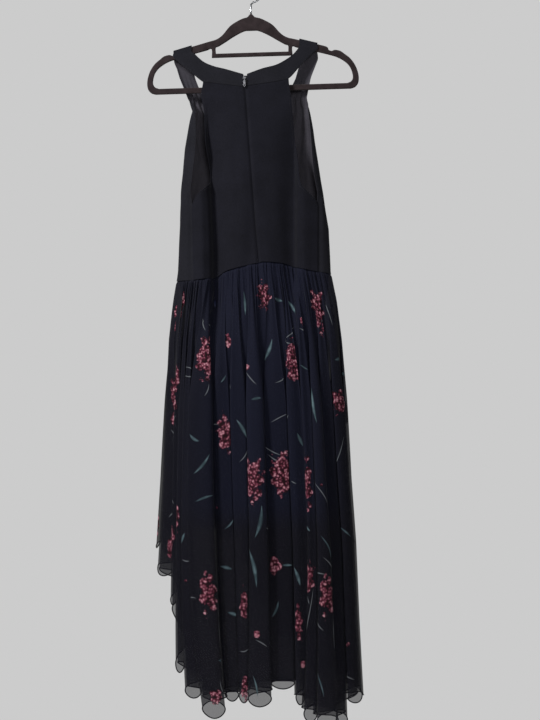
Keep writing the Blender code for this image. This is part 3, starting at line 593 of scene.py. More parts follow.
def armTopZ(x):  # height of the straight top edge of the tilted arm
    tilt, crest = frameHanger["tilt"], frameHanger["crestZ"]
    side = np.where(np.asarray(x) > 0, 1, -1)
    ends = []
    for point in frameHanger["armPoints"]:
        out, drop = frameHanger["outer"][point]
        turnedX = side * out * math.cos(tilt) + drop * math.sin(tilt)
        turnedZ = crest + side * out * math.sin(tilt) - drop * math.cos(tilt)
        ends.append((turnedX, turnedZ))
    (x1, z1), (x2, z2) = ends
    return z1 + (z2 - z1) * (x - x1) / (x2 - x1)


def bandStand():  # how far the middle of the neckband lies from the middle of the hanger's arm
    return frameHanger["thick"] / 2 + neckband["armGap"] + neckband["thickness"] / 2


def bandOut(share):  # distance from the neckband's middle, from its inner edge on the arm to its outer one
    return neckband["armInner"] + (neckband["armOuter"] - neckband["armInner"]) * share


def armPlace(side, out, lift):
    x = neckband["centreX"] + side * out
    return x, armTopZ(x) + lift


def flatShape(name, loops, thick, edge, place, material):  # outlines filled, thickened, edges rounded
    flat = bpy.data.curves.new(name, "CURVE")
    flat.dimensions = "2D"
    flat.fill_mode = "BOTH"
    flat.extrude = thick / 2 - edge
    flat.bevel_depth = edge
    flat.bevel_resolution = 3
    flat.offset = -edge
    for loop in loops:
        spline = flat.splines.new("POLY")
        spline.points.add(len(loop) - 1)
        for point, (across, up) in zip(spline.points, loop):
            point.co = (across, up, 0, 1)
        spline.use_cyclic_u = True
    outline = bpy.data.objects.new(name, flat)
    scene.collection.objects.link(outline)
    bpy.context.view_layer.update()
    mesh = bpy.data.meshes.new_from_object(outline.evaluated_get(bpy.context.evaluated_depsgraph_get()))
    bpy.data.objects.remove(outline)
    mesh.transform(place)
    joined = bmesh.new()
    joined.from_mesh(mesh)
    bmesh.ops.remove_doubles(joined, verts=joined.verts, dist=edge / 40)
    joined.to_mesh(mesh)
    joined.free()
    mesh.materials.clear()
    mesh.materials.append(material)
    mesh.shade_smooth()
    mesh.set_sharp_from_angle(angle=math.radians(50))
    piece = bpy.data.objects.new(name, mesh)
    scene.collection.objects.link(piece)
    return piece


def hangerShape(material):
    loops = []
    for half in ("outer", "arch", "window"):
        right = smoothLine([(x, -drop) for x, drop in frameHanger[half]], 4)
        loops.append(np.concatenate([right, right[::-1] * (-1, 1)]))
    stand = Matrix.Rotation(math.radians(90), 4, "X")
    lean = Matrix.Rotation(-frameHanger["tilt"], 4, "Y")
    place = Matrix.Translation((0, 0, frameHanger["crestZ"])) @ lean @ stand
    return flatShape("flockedHanger", loops, frameHanger["thick"], frameHanger["edge"], place, material)


# ABS frame with nylon flock: no gloss, warm black, a soft bloom where it turns away, worn in places.
def flockMaterial():
    made, tree, place = newMaterial("nylonFlockOnAbs")
    nap = addNode(tree, "TexNoise", {"Scale": 900.0, "Detail": 4.0, "Roughness": 0.7, "Vector": place})
    worn = addNode(tree, "TexNoise", {"Scale": 60.0, "Detail": 2.0, "Vector": place})
    both = addNode(tree, "Math", {"operation": "MULTIPLY", 0: nap, 1: worn})
    dye = addNode(tree, "ValToRGB", {"Fac": both, "stops": tuple(zip((0.10, 0.42), frameHanger["flock"]))})
    fibres = addNode(tree, "Bump", {"Strength": 0.6, "Distance": 0.0004, "Height": nap})
    return finishMaterial(made, {
        "Roughness": 0.95, "Sheen Weight": 0.2, "Sheen Roughness": 0.6, "Specular IOR Level": 0.15,
        "Base Color": dye, "Normal": fibres,
    })


# The neckband: a folded strip from the zip over the hanger's arm to the shoulder seam in front of it.
neckband = {
    "runs": {
        # top edge x, top edge z, low edge x, low edge z
        -1: (
            (-0.0157, -0.1975, -0.0142, -0.2244),
            (-0.0520, -0.1868, -0.0556, -0.2192),
            (-0.0770, -0.1803, -0.0821, -0.2155),
            (-0.0969, -0.1718, -0.1000, -0.2130),
            (-0.1094, -0.1618, -0.1230, -0.1942),
            (-0.1178, -0.1534, -0.1480, -0.1733),
        ),
        1: (
            (-0.0082, -0.1970, -0.0097, -0.2223),
            (0.0232, -0.1852, 0.0319, -0.2161),
            (0.0524, -0.1770, 0.0604, -0.2109),
            (0.0733, -0.1656, 0.0803, -0.2046),
            (0.0879, -0.1545, 0.1025, -0.1796),
            (0.0984, -0.1420, 0.1255, -0.1545),
        ),
    },
    "centreX": -0.0116,
    "armInner": 0.113,
    "armOuter": 0.151,
    "frontDrop": -0.0160,
    "armGap": 0.0003,
    "thickness": 0.0020,
    "columns": 15,
    "steps": 12,
}


def neckbandPoints(side):
    across = np.linspace(0, 1, neckband["columns"])
    rungs = []
    for topX, topZ, lowX, lowZ in neckband["runs"][side]:
        x, z = topX + (lowX - topX) * across, topZ + (lowZ - topZ) * across
        rungs.append(clothPoint(aroundAt(x, z, "back"), z, 0.0))
    stand = bandStand()
    over = (
        # y, height above the arm's top edge
        (-stand - 0.0004, -0.0110),
        (-stand, -0.0030),
        (-stand * 0.92, 0.0009),
        (-stand * 0.50, 0.0018),
        (stand * 0.50, 0.0018),
        (stand * 0.92, 0.0009),
        (stand, -0.0030),
        (stand, neckband["frontDrop"]),
    )
    for y, lift in over:
        x, z = armPlace(side, bandOut(across), lift)
        rungs.append(np.stack([x, np.full_like(x, y), z], axis=-1))
    return smoothLine(np.array(rungs), neckband["steps"])


# The crepe's colours, dark and light: its face, its reverse in the armholes (painted much lighter, as painted
# light falling into them), the folded band, the rolled hem.
crepeColour = {
    "face": ("#0f0f18", "#23232f"),
    # painted light: the reverse is painted several times lighter than the face, standing in for the light
    # that falls into the armholes
    "reversePaintedLit": ("#45434b", "#605d66"),
    "folded": ("#18181f", "#2b2b34"),
    "hem": ("#0c0c12", "#1a1a22"),
}


# Polyester crepe of tightly twisted yarn: matt, its pebbled grain of about 1 mm breaks up the light.
def crepeMaterial(name, colours):
    made, tree, place = newMaterial(name)
    grain = addNode(tree, "TexNoise", {"Scale": 850.0, "Detail": 3.0, "Roughness": 0.65, "Vector": place})
    drift = addNode(tree, "TexNoise", {"Scale": 22.0, "Detail": 3.0, "Vector": place})
    both = addNode(tree, "Math", {"operation": "MULTIPLY_ADD", 0: drift, 1: 0.3, 2: grain})
    dye = addNode(tree, "ValToRGB", {"Fac": both, "stops": tuple(zip((0.48, 0.84), colours))})
    pebbles = addNode(tree, "Bump", {"Strength": 0.6, "Distance": 0.0004, "Height": grain})
    return finishMaterial(made, {
        "Roughness": 0.86, "Sheen Weight": 0.12, "Sheen Roughness": 0.45, "Specular IOR Level": 0.25,
        "Base Color": dye, "Normal": pebbles,
    })


# The skirt: thirteen large folds across the back and thirteen across the front, gathered at the waist seam.
skirt = {
    # back folds from their left valley: waist x, knee x, hem x, height, set forward, hem z
    "backFolds": (
        (-0.137, -0.158, -0.161, 0.0080, 0.000, -1.295),
        (-0.126, -0.148, -0.149, 0.0110, -0.001, -1.429),
        (-0.114, -0.138, -0.129, 0.0140, -0.002, -1.477),
        (-0.099, -0.125, -0.094, 0.0190, 0.004, -1.510),
        (-0.069, -0.076, -0.050, 0.0120, -0.012, -1.484),
        (-0.047, -0.040, -0.022, 0.0120, -0.006, -1.485),
        (-0.017, -0.006, -0.003, 0.0180, 0.004, -1.487),
        (0.015, 0.029, 0.042, 0.0130, -0.010, -1.459),
        (0.055, 0.077, 0.092, 0.0110, 0.000, -1.489),
        (0.075, 0.107, 0.108, 0.0140, 0.002, -1.522),
        (0.098, 0.126, 0.133, 0.0190, 0.004, -1.535),
        (0.117, 0.147, 0.172, 0.0120, -0.006, -1.545),
        (0.136, 0.173, 0.197, 0.0140, 0.000, -1.499),
    ),
    "backEnd": (0.158, 0.196, 0.226),
    # front folds, from the right side seam to the left one: height, set forward, hem z
    "frontFolds": (
        (0.0110, 0.002, -1.499),
        (0.0130, -0.002, -1.492),
        (0.0170, 0.003, -1.480),
        (0.0140, -0.003, -1.460),
        (0.0180, 0.002, -1.400),
        (0.0130, -0.004, -1.310),
        (0.0170, 0.003, -1.230),
        (0.0140, -0.002, -1.186),
        (0.0180, 0.002, -1.166),
        (0.0140, -0.003, -1.160),
        (0.0130, 0.000, -1.165),
        (0.0130, 0.001, -1.190),
        (0.0050, 0.000, -1.240),
    ),
    "topZ": -0.610,
    "kneeZ": -0.962,
    "hemZ": -1.490,
    "foldAtWaist": 0.04,
    "foldFullAt": 0.56,
    "foldHead": 0.06,
    # how far the cloth doubles back, as a share of a fold's width: at its face, at its valley, and for each
    # metre that the fold is set forward
    "faceLean": 0.37,
    "valleyLean": 0.95,
    "forwardLean": 3.0,
    "leanFullAt": 0.34,
    "hemLift": 0.012,
    "lobeLift": 0.015,
    "lobeReach": 0.24,
    "sideEase": 0.45,
    "hemFlatness": 1.5,
    "gathersPerFold": (2.5, 1.5),  # back, front
    "gatherSeam": 0.0006,
    "gatherFull": 0.0036,
    "gatherLength": 0.110,
    "gatherStart": 0.012,
    "gatherPitch": (0.26, 0.72),  # the pitches of waves are shares of a fold's width
    "gatherScale": (0.4, 0.3),    # across, down
    "fineGather": 0.0010,
    "finePitch": (0.11, 0.26),
    "pinch": (0.050, 0.003),      # how far the fine gathers reach down, and over which height they begin
    "softWaves": 0.0017,
    "wavePitch": (0.15, 0.55),
    "waveStart": 0.08,
    "waveDown": 0.35,
    "seamTuck": (0.0026, 0.0028),  # how far the cloth is drawn in at the waist seam, and over which height
    "columnsPerFold": (56, 44),
    "rows": (124, 96),
    "rowSpread": 1.35,
    "hemRadius": 0.0012,
}


def foldPlaces():  # the valleys of every fold, as shares of the way round at waist, knee and hem
    levels = (skirt["topZ"], skirt["kneeZ"], skirt["hemZ"])
    rows = [row[:3] for row in skirt["backFolds"]] + [skirt["backEnd"]]
    back = [[float(aroundAt(x, z, "back")) for x, z in zip(row, levels)] for row in rows]
    first, last = np.array(back[-1]), np.array(back[0]) + 1.0
    count = len(skirt["frontFolds"])
    front = [first + (last - first) * (k + 0.20 * math.sin(2.4 * k)) / count for k in range(1, count)]
    return np.array(back + front + [last])


places = foldPlaces()
heights = np.concatenate([column(skirt["backFolds"], 3), column(skirt["frontFolds"], 0)])
forward = np.concatenate([column(skirt["backFolds"], 4), column(skirt["frontFolds"], 1)])
hems = np.concatenate([column(skirt["backFolds"], 5), column(skirt["frontFolds"], 2)])


def betweenFolds(values, index, across):  # the mean of the folds on both sides of a valley
    left = (values[index] + values[index - 1]) / 2
    right = (values[(index + 1) % len(values)] + values[index]) / 2
    return (1 - across) * left + across * right


def foldAround(index, across, z, lean):
    down = (skirt["topZ"] - z) / (skirt["topZ"] - skirt["hemZ"])
    knee = (skirt["topZ"] - skirt["kneeZ"]) / (skirt["topZ"] - skirt["hemZ"])
    weights = (
        (down - knee) * (down - 1) / knee,
        down * (down - 1) / (knee * (knee - 1)),
        down * (down - knee) / (1 - knee),
    )
    start = sum(w * places[index, k] for k, w in enumerate(weights))
    end = sum(w * places[index + 1, k] for k, w in enumerate(weights))
    face = skirt["faceLean"] + skirt["forwardLean"] * forward[index]
    lean = lean * np.where(np.abs(across - 0.5) < 0.25, face, skirt["valleyLean"])
    bulge = lean * smooth(down / skirt["leanFullAt"]) * np.sin(4 * math.pi * (across - 0.5))
    return start + (end - start) * (across + bulge)


def foldOut(index, across, z, gathers):
    down = (skirt["topZ"] - z) / (skirt["topZ"] - skirt["hemZ"])
    ridge = (1 - np.cos(2 * math.pi * across)) / 2
    valley = betweenFolds(heights, index, across)
    grown = smooth((down + skirt["foldHead"]) / (skirt["foldFullAt"] + skirt["foldHead"]))
    grown = skirt["foldAtWaist"] + (1 - skirt["foldAtWaist"]) * grown
    fold = heights[index] * ridge - valley * (1 - ridge) + forward[index] * ridge
    below = np.maximum(0.0, waistZ(foldAround(index, across, z, 0.0)) - z)
    atSeam = np.exp(-below / skirt["gatherStart"])
    fade = np.exp(-((below / skirt["gatherLength"]) ** 2)) * (1 - atSeam)
    strength = skirt["gatherSeam"] * atSeam + skirt["gatherFull"] * fade
    place = index + across
    scaleAcross, scaleDown = skirt["gatherScale"]
    pitch = skirt["gatherPitch"]
    gather = strength * ripple(place * scaleAcross * gathers, below * scaleDown, 83, 7, *pitch)
    reach, start = skirt["pinch"]
    pinched = np.exp(-below / reach) * (1 - np.exp(-below / start))
    gather = gather + skirt["fineGather"] * pinched * ripple(place, below, 31, 5, *skirt["finePitch"])
    waves = skirt["softWaves"] * smooth(below / skirt["waveStart"])
    waves = waves * ripple(place, below * skirt["waveDown"], 47, 6, *skirt["wavePitch"])
    depth, height = skirt["seamTuck"]
    return grown * fold + gather + waves - depth * np.exp(-((below / height) ** 2))


def skirtPoints(side):
    count = len(skirt["backFolds"])
    total = count + len(skirt["frontFolds"])
    panel, first, last = (0, 0, count) if side < 0 else (1, count, total)
    perFold, rows, gathers = (skirt[key][panel] for key in ("columnsPerFold", "rows", "gathersPerFold"))
    step = np.arange((last - first) * perFold + 1)
    index = np.minimum(first + step // perFold, last - 1)[None, :]
    across = (step[None, :] - (index - first) * perFold) / perFold
    down = (np.linspace(0, 1, rows) ** skirt["rowSpread"])[:, None]
    away = np.abs(2 * across - 1)
    ridge = 1 - away ** skirt["hemFlatness"]
    hem = hems[index] * ridge + (betweenFolds(hems, index, across) + skirt["hemLift"]) * (1 - ridge)
    hem = hem + skirt["lobeLift"] * (1 - np.exp(-((away / skirt["lobeReach"]) ** 2)))
    z = np.full((rows, len(step)), skirt["topZ"])
    for _ in range(5):
        around = foldAround(index, across, z, 1.0)
        top = waistZ(around) + garment["waistGap"]
        z = top + (hem - top) * down
    ease = 1 - skirt["sideEase"] * np.abs(np.cos(2 * math.pi * around)) ** 6
    out = foldOut(index, across, z, gathers) * ease
    flat = clothPoint(around, z, 0.0)
    out = out - np.where(flat[..., 1] < 0, hollow(flat[..., 0], z), 0.0)
    return clothPoint(around, z, out)


# The print: ordinary small flowers in bunches, single buds, slender leaves and thin stems.
# A place is a fold's number on the back skirt, counted from the left, with the share across it.
# Heights and sizes are in mm.
flowerPrint = {
    "bunches": (
        # place, z, half width, half height
        (0.27, -673, 8, 33),
        (3.55, -791, 26, 49),
        (5.00, -756, 7, 19),
        (7.12, -664, 19, 33),
        (11.55, -689, 22, 56),
        (9.66, -718, 7, 12),
        (8.52, -797, 24, 49),
        (0.36, -828, 12, 40),
        (0.38, -883, 10, 21),
        (12.48, -881, 22, 28),
        (4.54, -946, 19, 44),
        (6.45, -1035, 31, 51),
        (7.55, -1027, 31, 49),
        (9.43, -1044, 14, 61),
        (1.41, -1116, 10, 33),
        (0.38, -1152, 14, 28),
        (3.54, -1262, 22, 47),
        (5.52, -1287, 10, 35),
        (7.45, -1210, 17, 21),
        (9.41, -1235, 17, 35),
        (10.52, -1270, 22, 47),
        (8.46, -1325, 10, 40),
        (5.52, -1455, 11, 28),
        (3.54, -1469, 14, 21),
    ),
    "buds": (
        # place, z, radius
        (6.36, -811, 7),
        (10.50, -1048, 5),
        (6.48, -1343, 8),
        (2.50, -1243, 5),
        (8.55, -1410, 8),
        (12.41, -1374, 6),
        (4.41, -1098, 4),
    ),
    "leaves": (
        # place, z, half length, half width, turn in degrees, bend
        (6.02, -678, 25, 2.7, -89, 1),
        (7.95, -670, 11, 4.0, -17, 0),
        (9.02, -688, 23, 3.8, -61, 2),
        (7.43, -774, 25, 3.8, -111, 3),
        (6.52, -873, 11, 3.2, 5, 1),
        (5.54, -935, 23, 3.8, -61, 2),
        (3.46, -953, 13, 3.6, -29, -3),
        (3.52, -1005, 27, 3.3, -132, 3),
        (10.45, -887, 37, 3.6, -84, -3),
        (8.55, -957, 15, 3.8, -67, 0),
        (12.59, -793, 11, 3.8, 10, 0),
        (3.54, -1075, 22, 2.7, 16, 3),
        (6.50, -1119, 33, 4.4, -104, 5),
        (6.43, -1214, 41, 4.4, -76, 5),
        (4.50, -1216, 13, 3.6, -14, 1),
        (2.45, -1158, 12, 3.2, -114, 0),
        (4.55, -1129, 15, 2.1, -138, 2),
        (10.54, -1179, 34, 2.1, -63, 5),
        (8.45, -1233, 20, 4.2, -69, 2),
        (7.55, -1212, 12, 2.7, -5, 0),
        (4.57, -1313, 14, 3.8, -21, 1),
        (7.45, -1301, 18, 2.7, -114, 3),
        (3.64, -1395, 11, 3.3, -17, 0),
        (9.39, -1139, 9, 2.6, -36, 0),
        (12.45, -1150, 19, 2.1, -41, 1),
        (6.46, -1447, 22, 1.9, -77, 2),
        (10.41, -1451, 27, 1.9, -68, 3),
        (9.50, -809, 10, 1.9, -32, 0),
        (4.54, -833, 10, 1.9, -127, 1),
    ),
    "stems": (
        # place, z, half length, turn in degrees, bend
        (2.54, -813, 14, -18, 3),
        (2.55, -826, 14, -3, -3),
        (3.55, -856, 14, -114, 3),
        (3.50, -722, 14, -72, -3),
        (3.70, -724, 7, -37, 0),
        (5.36, -823, 35, -85, -4),
        (6.46, -832, 18, -51, -1),
        (7.57, -835, 14, 27, -3),
        (8.61, -739, 27, 32, -1),
        (8.45, -757, 13, -21, -3),
        (9.62, -738, 13, -36, 3),
        (12.43, -697, 28, -75, 1),
        (11.70, -705, 13, -111, 3),
        (7.46, -981, 22, -27, -1),
        (7.48, -996, 18, -32, -1),
        (5.55, -988, 17, 52, -3),
        (7.54, -913, 21, 23, 1),
        (10.48, -1065, 29, -55, 3),
        (12.43, -985, 36, -116, 3),
        (4.41, -928, 8, -9, 0),
        (6.64, -1131, 8, -18, 0),
        (8.45, -1043, 7, -27, 0),
        (10.57, -1214, 27, -49, 3),
        (10.62, -1344, 39, -92, -4),
        (9.39, -1312, 55, -105, 5),
        (3.64, -1330, 42, -86, 3),
        (6.52, -1361, 15, -34, 1),
        (5.52, -1379, 11, 7, -3),
        (9.41, -1284, 10, -63, 0),
        (12.39, -1440, 20, -27, -1),
        (0.38, -921, 17, 59, 3),
        (2.52, -1201, 11, -7, -3),
        (3.39, -1281, 14, 11, 3),
        (3.61, -1446, 15, -73, -3),
        (10.41, -1231, 17, -5, 3),
        (10.39, -1333, 17, -42, -1),
        (0.38, -1083, 11, -30, 3),
        (3.46, -716, 7, -79, 0),
        (8.36, -915, 7, 53, 0),
    ),
    "stemWidth": 1.0,
    "bunchMargin": 1.15,     # how far past its oval a bunch may reach
    "leafMargin": 5.0,
    "frontShift": 26.0,      # the front repeats the back's print, mirrored
    "frontDrop": 30.0,
    "blank": 900.0,
    "reach": 1.3,
    "blossom": 17.0,
    "petal": 6.0,
    # ink by tone, from between the petals to their pale middles
    "red": ((0.16, "#250b14"), (0.44, "#66263a"), (0.70, "#9a4a60"), (1.00, "#e6aab6")),
    "teal": ((0.05, "#2c3a41"), (0.30, "#465a62"), (0.60, "#7b949b")),
    "stem": "#787d82",
}


def clothLengths(points):  # distances along the cloth, in mm, from its left edge and from its top
    acrossSteps = np.linalg.norm(np.diff(points, axis=1), axis=2) * 1000
    downSteps = np.linalg.norm(np.diff(points, axis=0), axis=2) * 1000
    across = np.cumsum(np.pad(acrossSteps, ((0, 0), (1, 0))), axis=1)
    return across, np.cumsum(np.pad(downSteps, ((1, 0), (0, 0))), axis=0)


def layMotifs(points, motifs, perFold):  # for each corner of a face: place on its motif, the motif's sizes
    lengthAcross, lengthDown = clothLengths(points)
    rows, columns = points.shape[0] - 1, points.shape[1] - 1
    local = np.full((rows, columns, 4, 3), flowerPrint["blank"])
    wide = np.zeros((rows, columns, 4))
    nearest = np.full((rows, columns), flowerPrint["reach"])
    for place, z, halfX, halfY, turn, bend, high, width in motifs:
        column0 = int(round(place * perFold))
        if not 0 <= column0 <= columns or points[-1, column0, 2] > z / 1000:
            continue
        row0 = int(np.argmin(np.abs(points[:, column0, 2] - z / 1000)))
        x = lengthAcross - lengthAcross[:, column0][:, None]
        y = lengthDown[row0, column0] - lengthDown
        cos, sin = math.cos(math.radians(turn)), math.sin(math.radians(turn))
        x, y = x * cos + y * sin, y * cos - x * sin
        y = y - bend * (1 - np.clip(x / halfX, -1.2, 1.2) ** 2)
        away = np.maximum(np.abs(x) / halfX, np.abs(y) / halfY)
        away = (away[:-1, :-1] + away[1:, 1:]) / 2
        mine = away < nearest
        nearest = np.where(mine, away, nearest)
        for corner, (r, c) in enumerate(((0, 0), (0, 1), (1, 1), (1, 0))):
            for k, values in enumerate((x, y, np.full_like(x, high))):
                values = values[r:rows + r, c:columns + c]
                local[..., corner, k] = np.where(mine, values, local[..., corner, k])
            wide[..., corner] = np.where(mine, width, wide[..., corner])
    return local.reshape(-1, 3), wide.reshape(-1)


def printOn(piece, points, perFold, mirrored):  # stores the print's places on the faces of a skirt panel
    tall, margin, stem = (flowerPrint[key] for key in ("bunchMargin", "leafMargin", "stemWidth"))
    blossoms = [
        (place, z, wide * tall, high * tall, 0, 0, high, wide)
        for place, z, wide, high in flowerPrint["bunches"]
    ] + [
        (place, z, size * tall, size * tall, 0, 0, size, -size)
        for place, z, size in flowerPrint["buds"]
    ]
    stems = [(*row[:3], stem, *row[3:]) for row in flowerPrint["stems"]]
    leaves = [
        (place, z, length, half + margin, turn, bend, length, half)
        for place, z, length, half, turn, bend in [*flowerPrint["leaves"], *stems]
    ]
    for name, motifs in (("bunch", blossoms), ("leaf", leaves)):
        if mirrored:
            shift, drop = flowerPrint["frontShift"], flowerPrint["frontDrop"]
            motifs = [
                (shift / 2 - place, z - drop, halfX, halfY, -turn, *rest)
                for place, z, halfX, halfY, turn, *rest in motifs
            ]
        local, wide = layMotifs(points, motifs, perFold)
        piece.data.attributes.new(name, "FLOAT_VECTOR", "CORNER").data.foreach_set("vector", local.ravel())
        piece.data.attributes.new(name + "Width", "FLOAT", "CORNER").data.foreach_set("value", wide)


# The slip lining, knee length, which shows through the skirt.
lining = {
    # z, left, right, half depth
    "sections": (
        (-0.600, -0.138, 0.150, 0.0090),
        (-0.700, -0.125, 0.155, 0.0140),
        (-0.850, -0.092, 0.166, 0.0240),
        (-1.000, -0.076, 0.173, 0.0300),
        (-1.122, -0.070, 0.176, 0.0330),
    ),
    "topInset": 0.0021,
    "slope": 0.40,
    "fallIn": 0.005,
    "drawIn": 0.080,
    "reach": (-0.009, -0.0045, 0.0, 0.0045, 0.009),
    "columns": 150,
    "rows": 110,
    "thickness": 0.0006,
    "waves": 0.0012,
    "wavePitch": (0.05, 0.11),
    "waveScale": (0.25, 0.2),
    "waveStart": 0.2,
    "overSeam": 0.003,      # how far its top edge lies above the waist seam
    "colour": ("#161c3a", "#20284f"),
}


def liningPoints(side):
    start = 0.0 if side < 0 else 0.5
    around = (start + 0.5 * np.linspace(0, 1, lining["columns"]))[None, :]
    seam = waistZ(around) + lining["overSeam"]
    low = lining["sections"][-1][0]
    z = seam + (low - seam) * np.linspace(0, 1, lining["rows"])[:, None]
    below = seam - z
    ring = clothPoint(around, z, 0.0)
    ringLeft, ringRight, ringBack, ringFront = (readDown(garment["sections"], z, k) for k in (1, 2, 3, 4))
    left, right, deep = (readDown(lining["sections"], z, k) for k in (1, 2, 3))
    share = (ring[..., 0] - ringLeft) / (ringRight - ringLeft)
    behind = ring[..., 1] < 0
    stand = np.where(behind, ringBack, ringFront)
    slip = np.stack([left + (right - left) * share, ring[..., 1] * deep / stand, z], axis=-1)
    scaleAcross, scaleDown = lining["waveScale"]
    soft = lining["waves"] * smooth(below / lining["waveStart"])
    soft = soft * ripple(share * scaleAcross, z * scaleDown, 61 + side, 4, *lining["wavePitch"])
    slip[..., 1] += soft * np.sin(math.pi * share)
    dent = np.max([hollow(ring[..., 0] + reach, z) for reach in lining["reach"]], axis=0)
    inset = lining["topInset"] + np.minimum(lining["slope"] * below, lining["fallIn"])
    sewn = clothPoint(around, z, -inset - np.where(behind, dent, 0.0))
    return sewn + (slip - sewn) * smooth(below / lining["drawIn"])[..., None]


# Polyester lining, plain satin-finished taffeta: smooth, with a low sheen along its folds.
def liningMaterial():
    made, tree, place = newMaterial("polyesterLining")
    drift = addNode(tree, "TexNoise", {"Scale": 14.0, "Detail": 2.0, "Vector": place})
    dye = addNode(tree, "ValToRGB", {"Fac": drift, "stops": tuple(zip((0.3, 0.7), lining["colour"]))})
    weave = addNode(tree, "TexNoise", {"Scale": 1400.0, "Detail": 1.0, "Vector": place})
    threads = addNode(tree, "Bump", {"Strength": 0.15, "Distance": 0.0001, "Height": weave})
    return finishMaterial(made, {
        "Roughness": 0.55, "Sheen Weight": 0.1, "Specular IOR Level": 0.3,
        "Base Color": dye, "Normal": threads,
    })


# Chiffon: fine twisted yarns, so that one layer lets over a quarter of the light through.
chiffon = {
    "cover": 0.69,
    "printCover": 0.95,
    "cloth": ("#12121c", "#1e1d2a"),
    # painted see-through light: over the navy slip the chiffon's ground is painted navy; its inks, the slip's
    # hem, its middle and its side edges
    "paintedSlipShowThrough": ("#151729", "#1f2238"),
    "slipHem": (-1.150, -1.080),
    "slipMiddle": 0.0275,
    "slipHalf": (0.210, 0.060),
    "mostLayers": 2.2,
}


def layersOn(piece, points):  # gathers finer than the mesh shows, counted as layers of cloth
    widths = clothLengths(points)[0]
    spacing = np.gradient(widths, axis=1)
    layers = np.clip(spacing[-1] / spacing, 1.0, chiffon["mostLayers"])
    stored = piece.data.attributes.new("layers", "FLOAT", "CORNER")
    stored.data.foreach_set("value", faceCorners(layers).ravel())


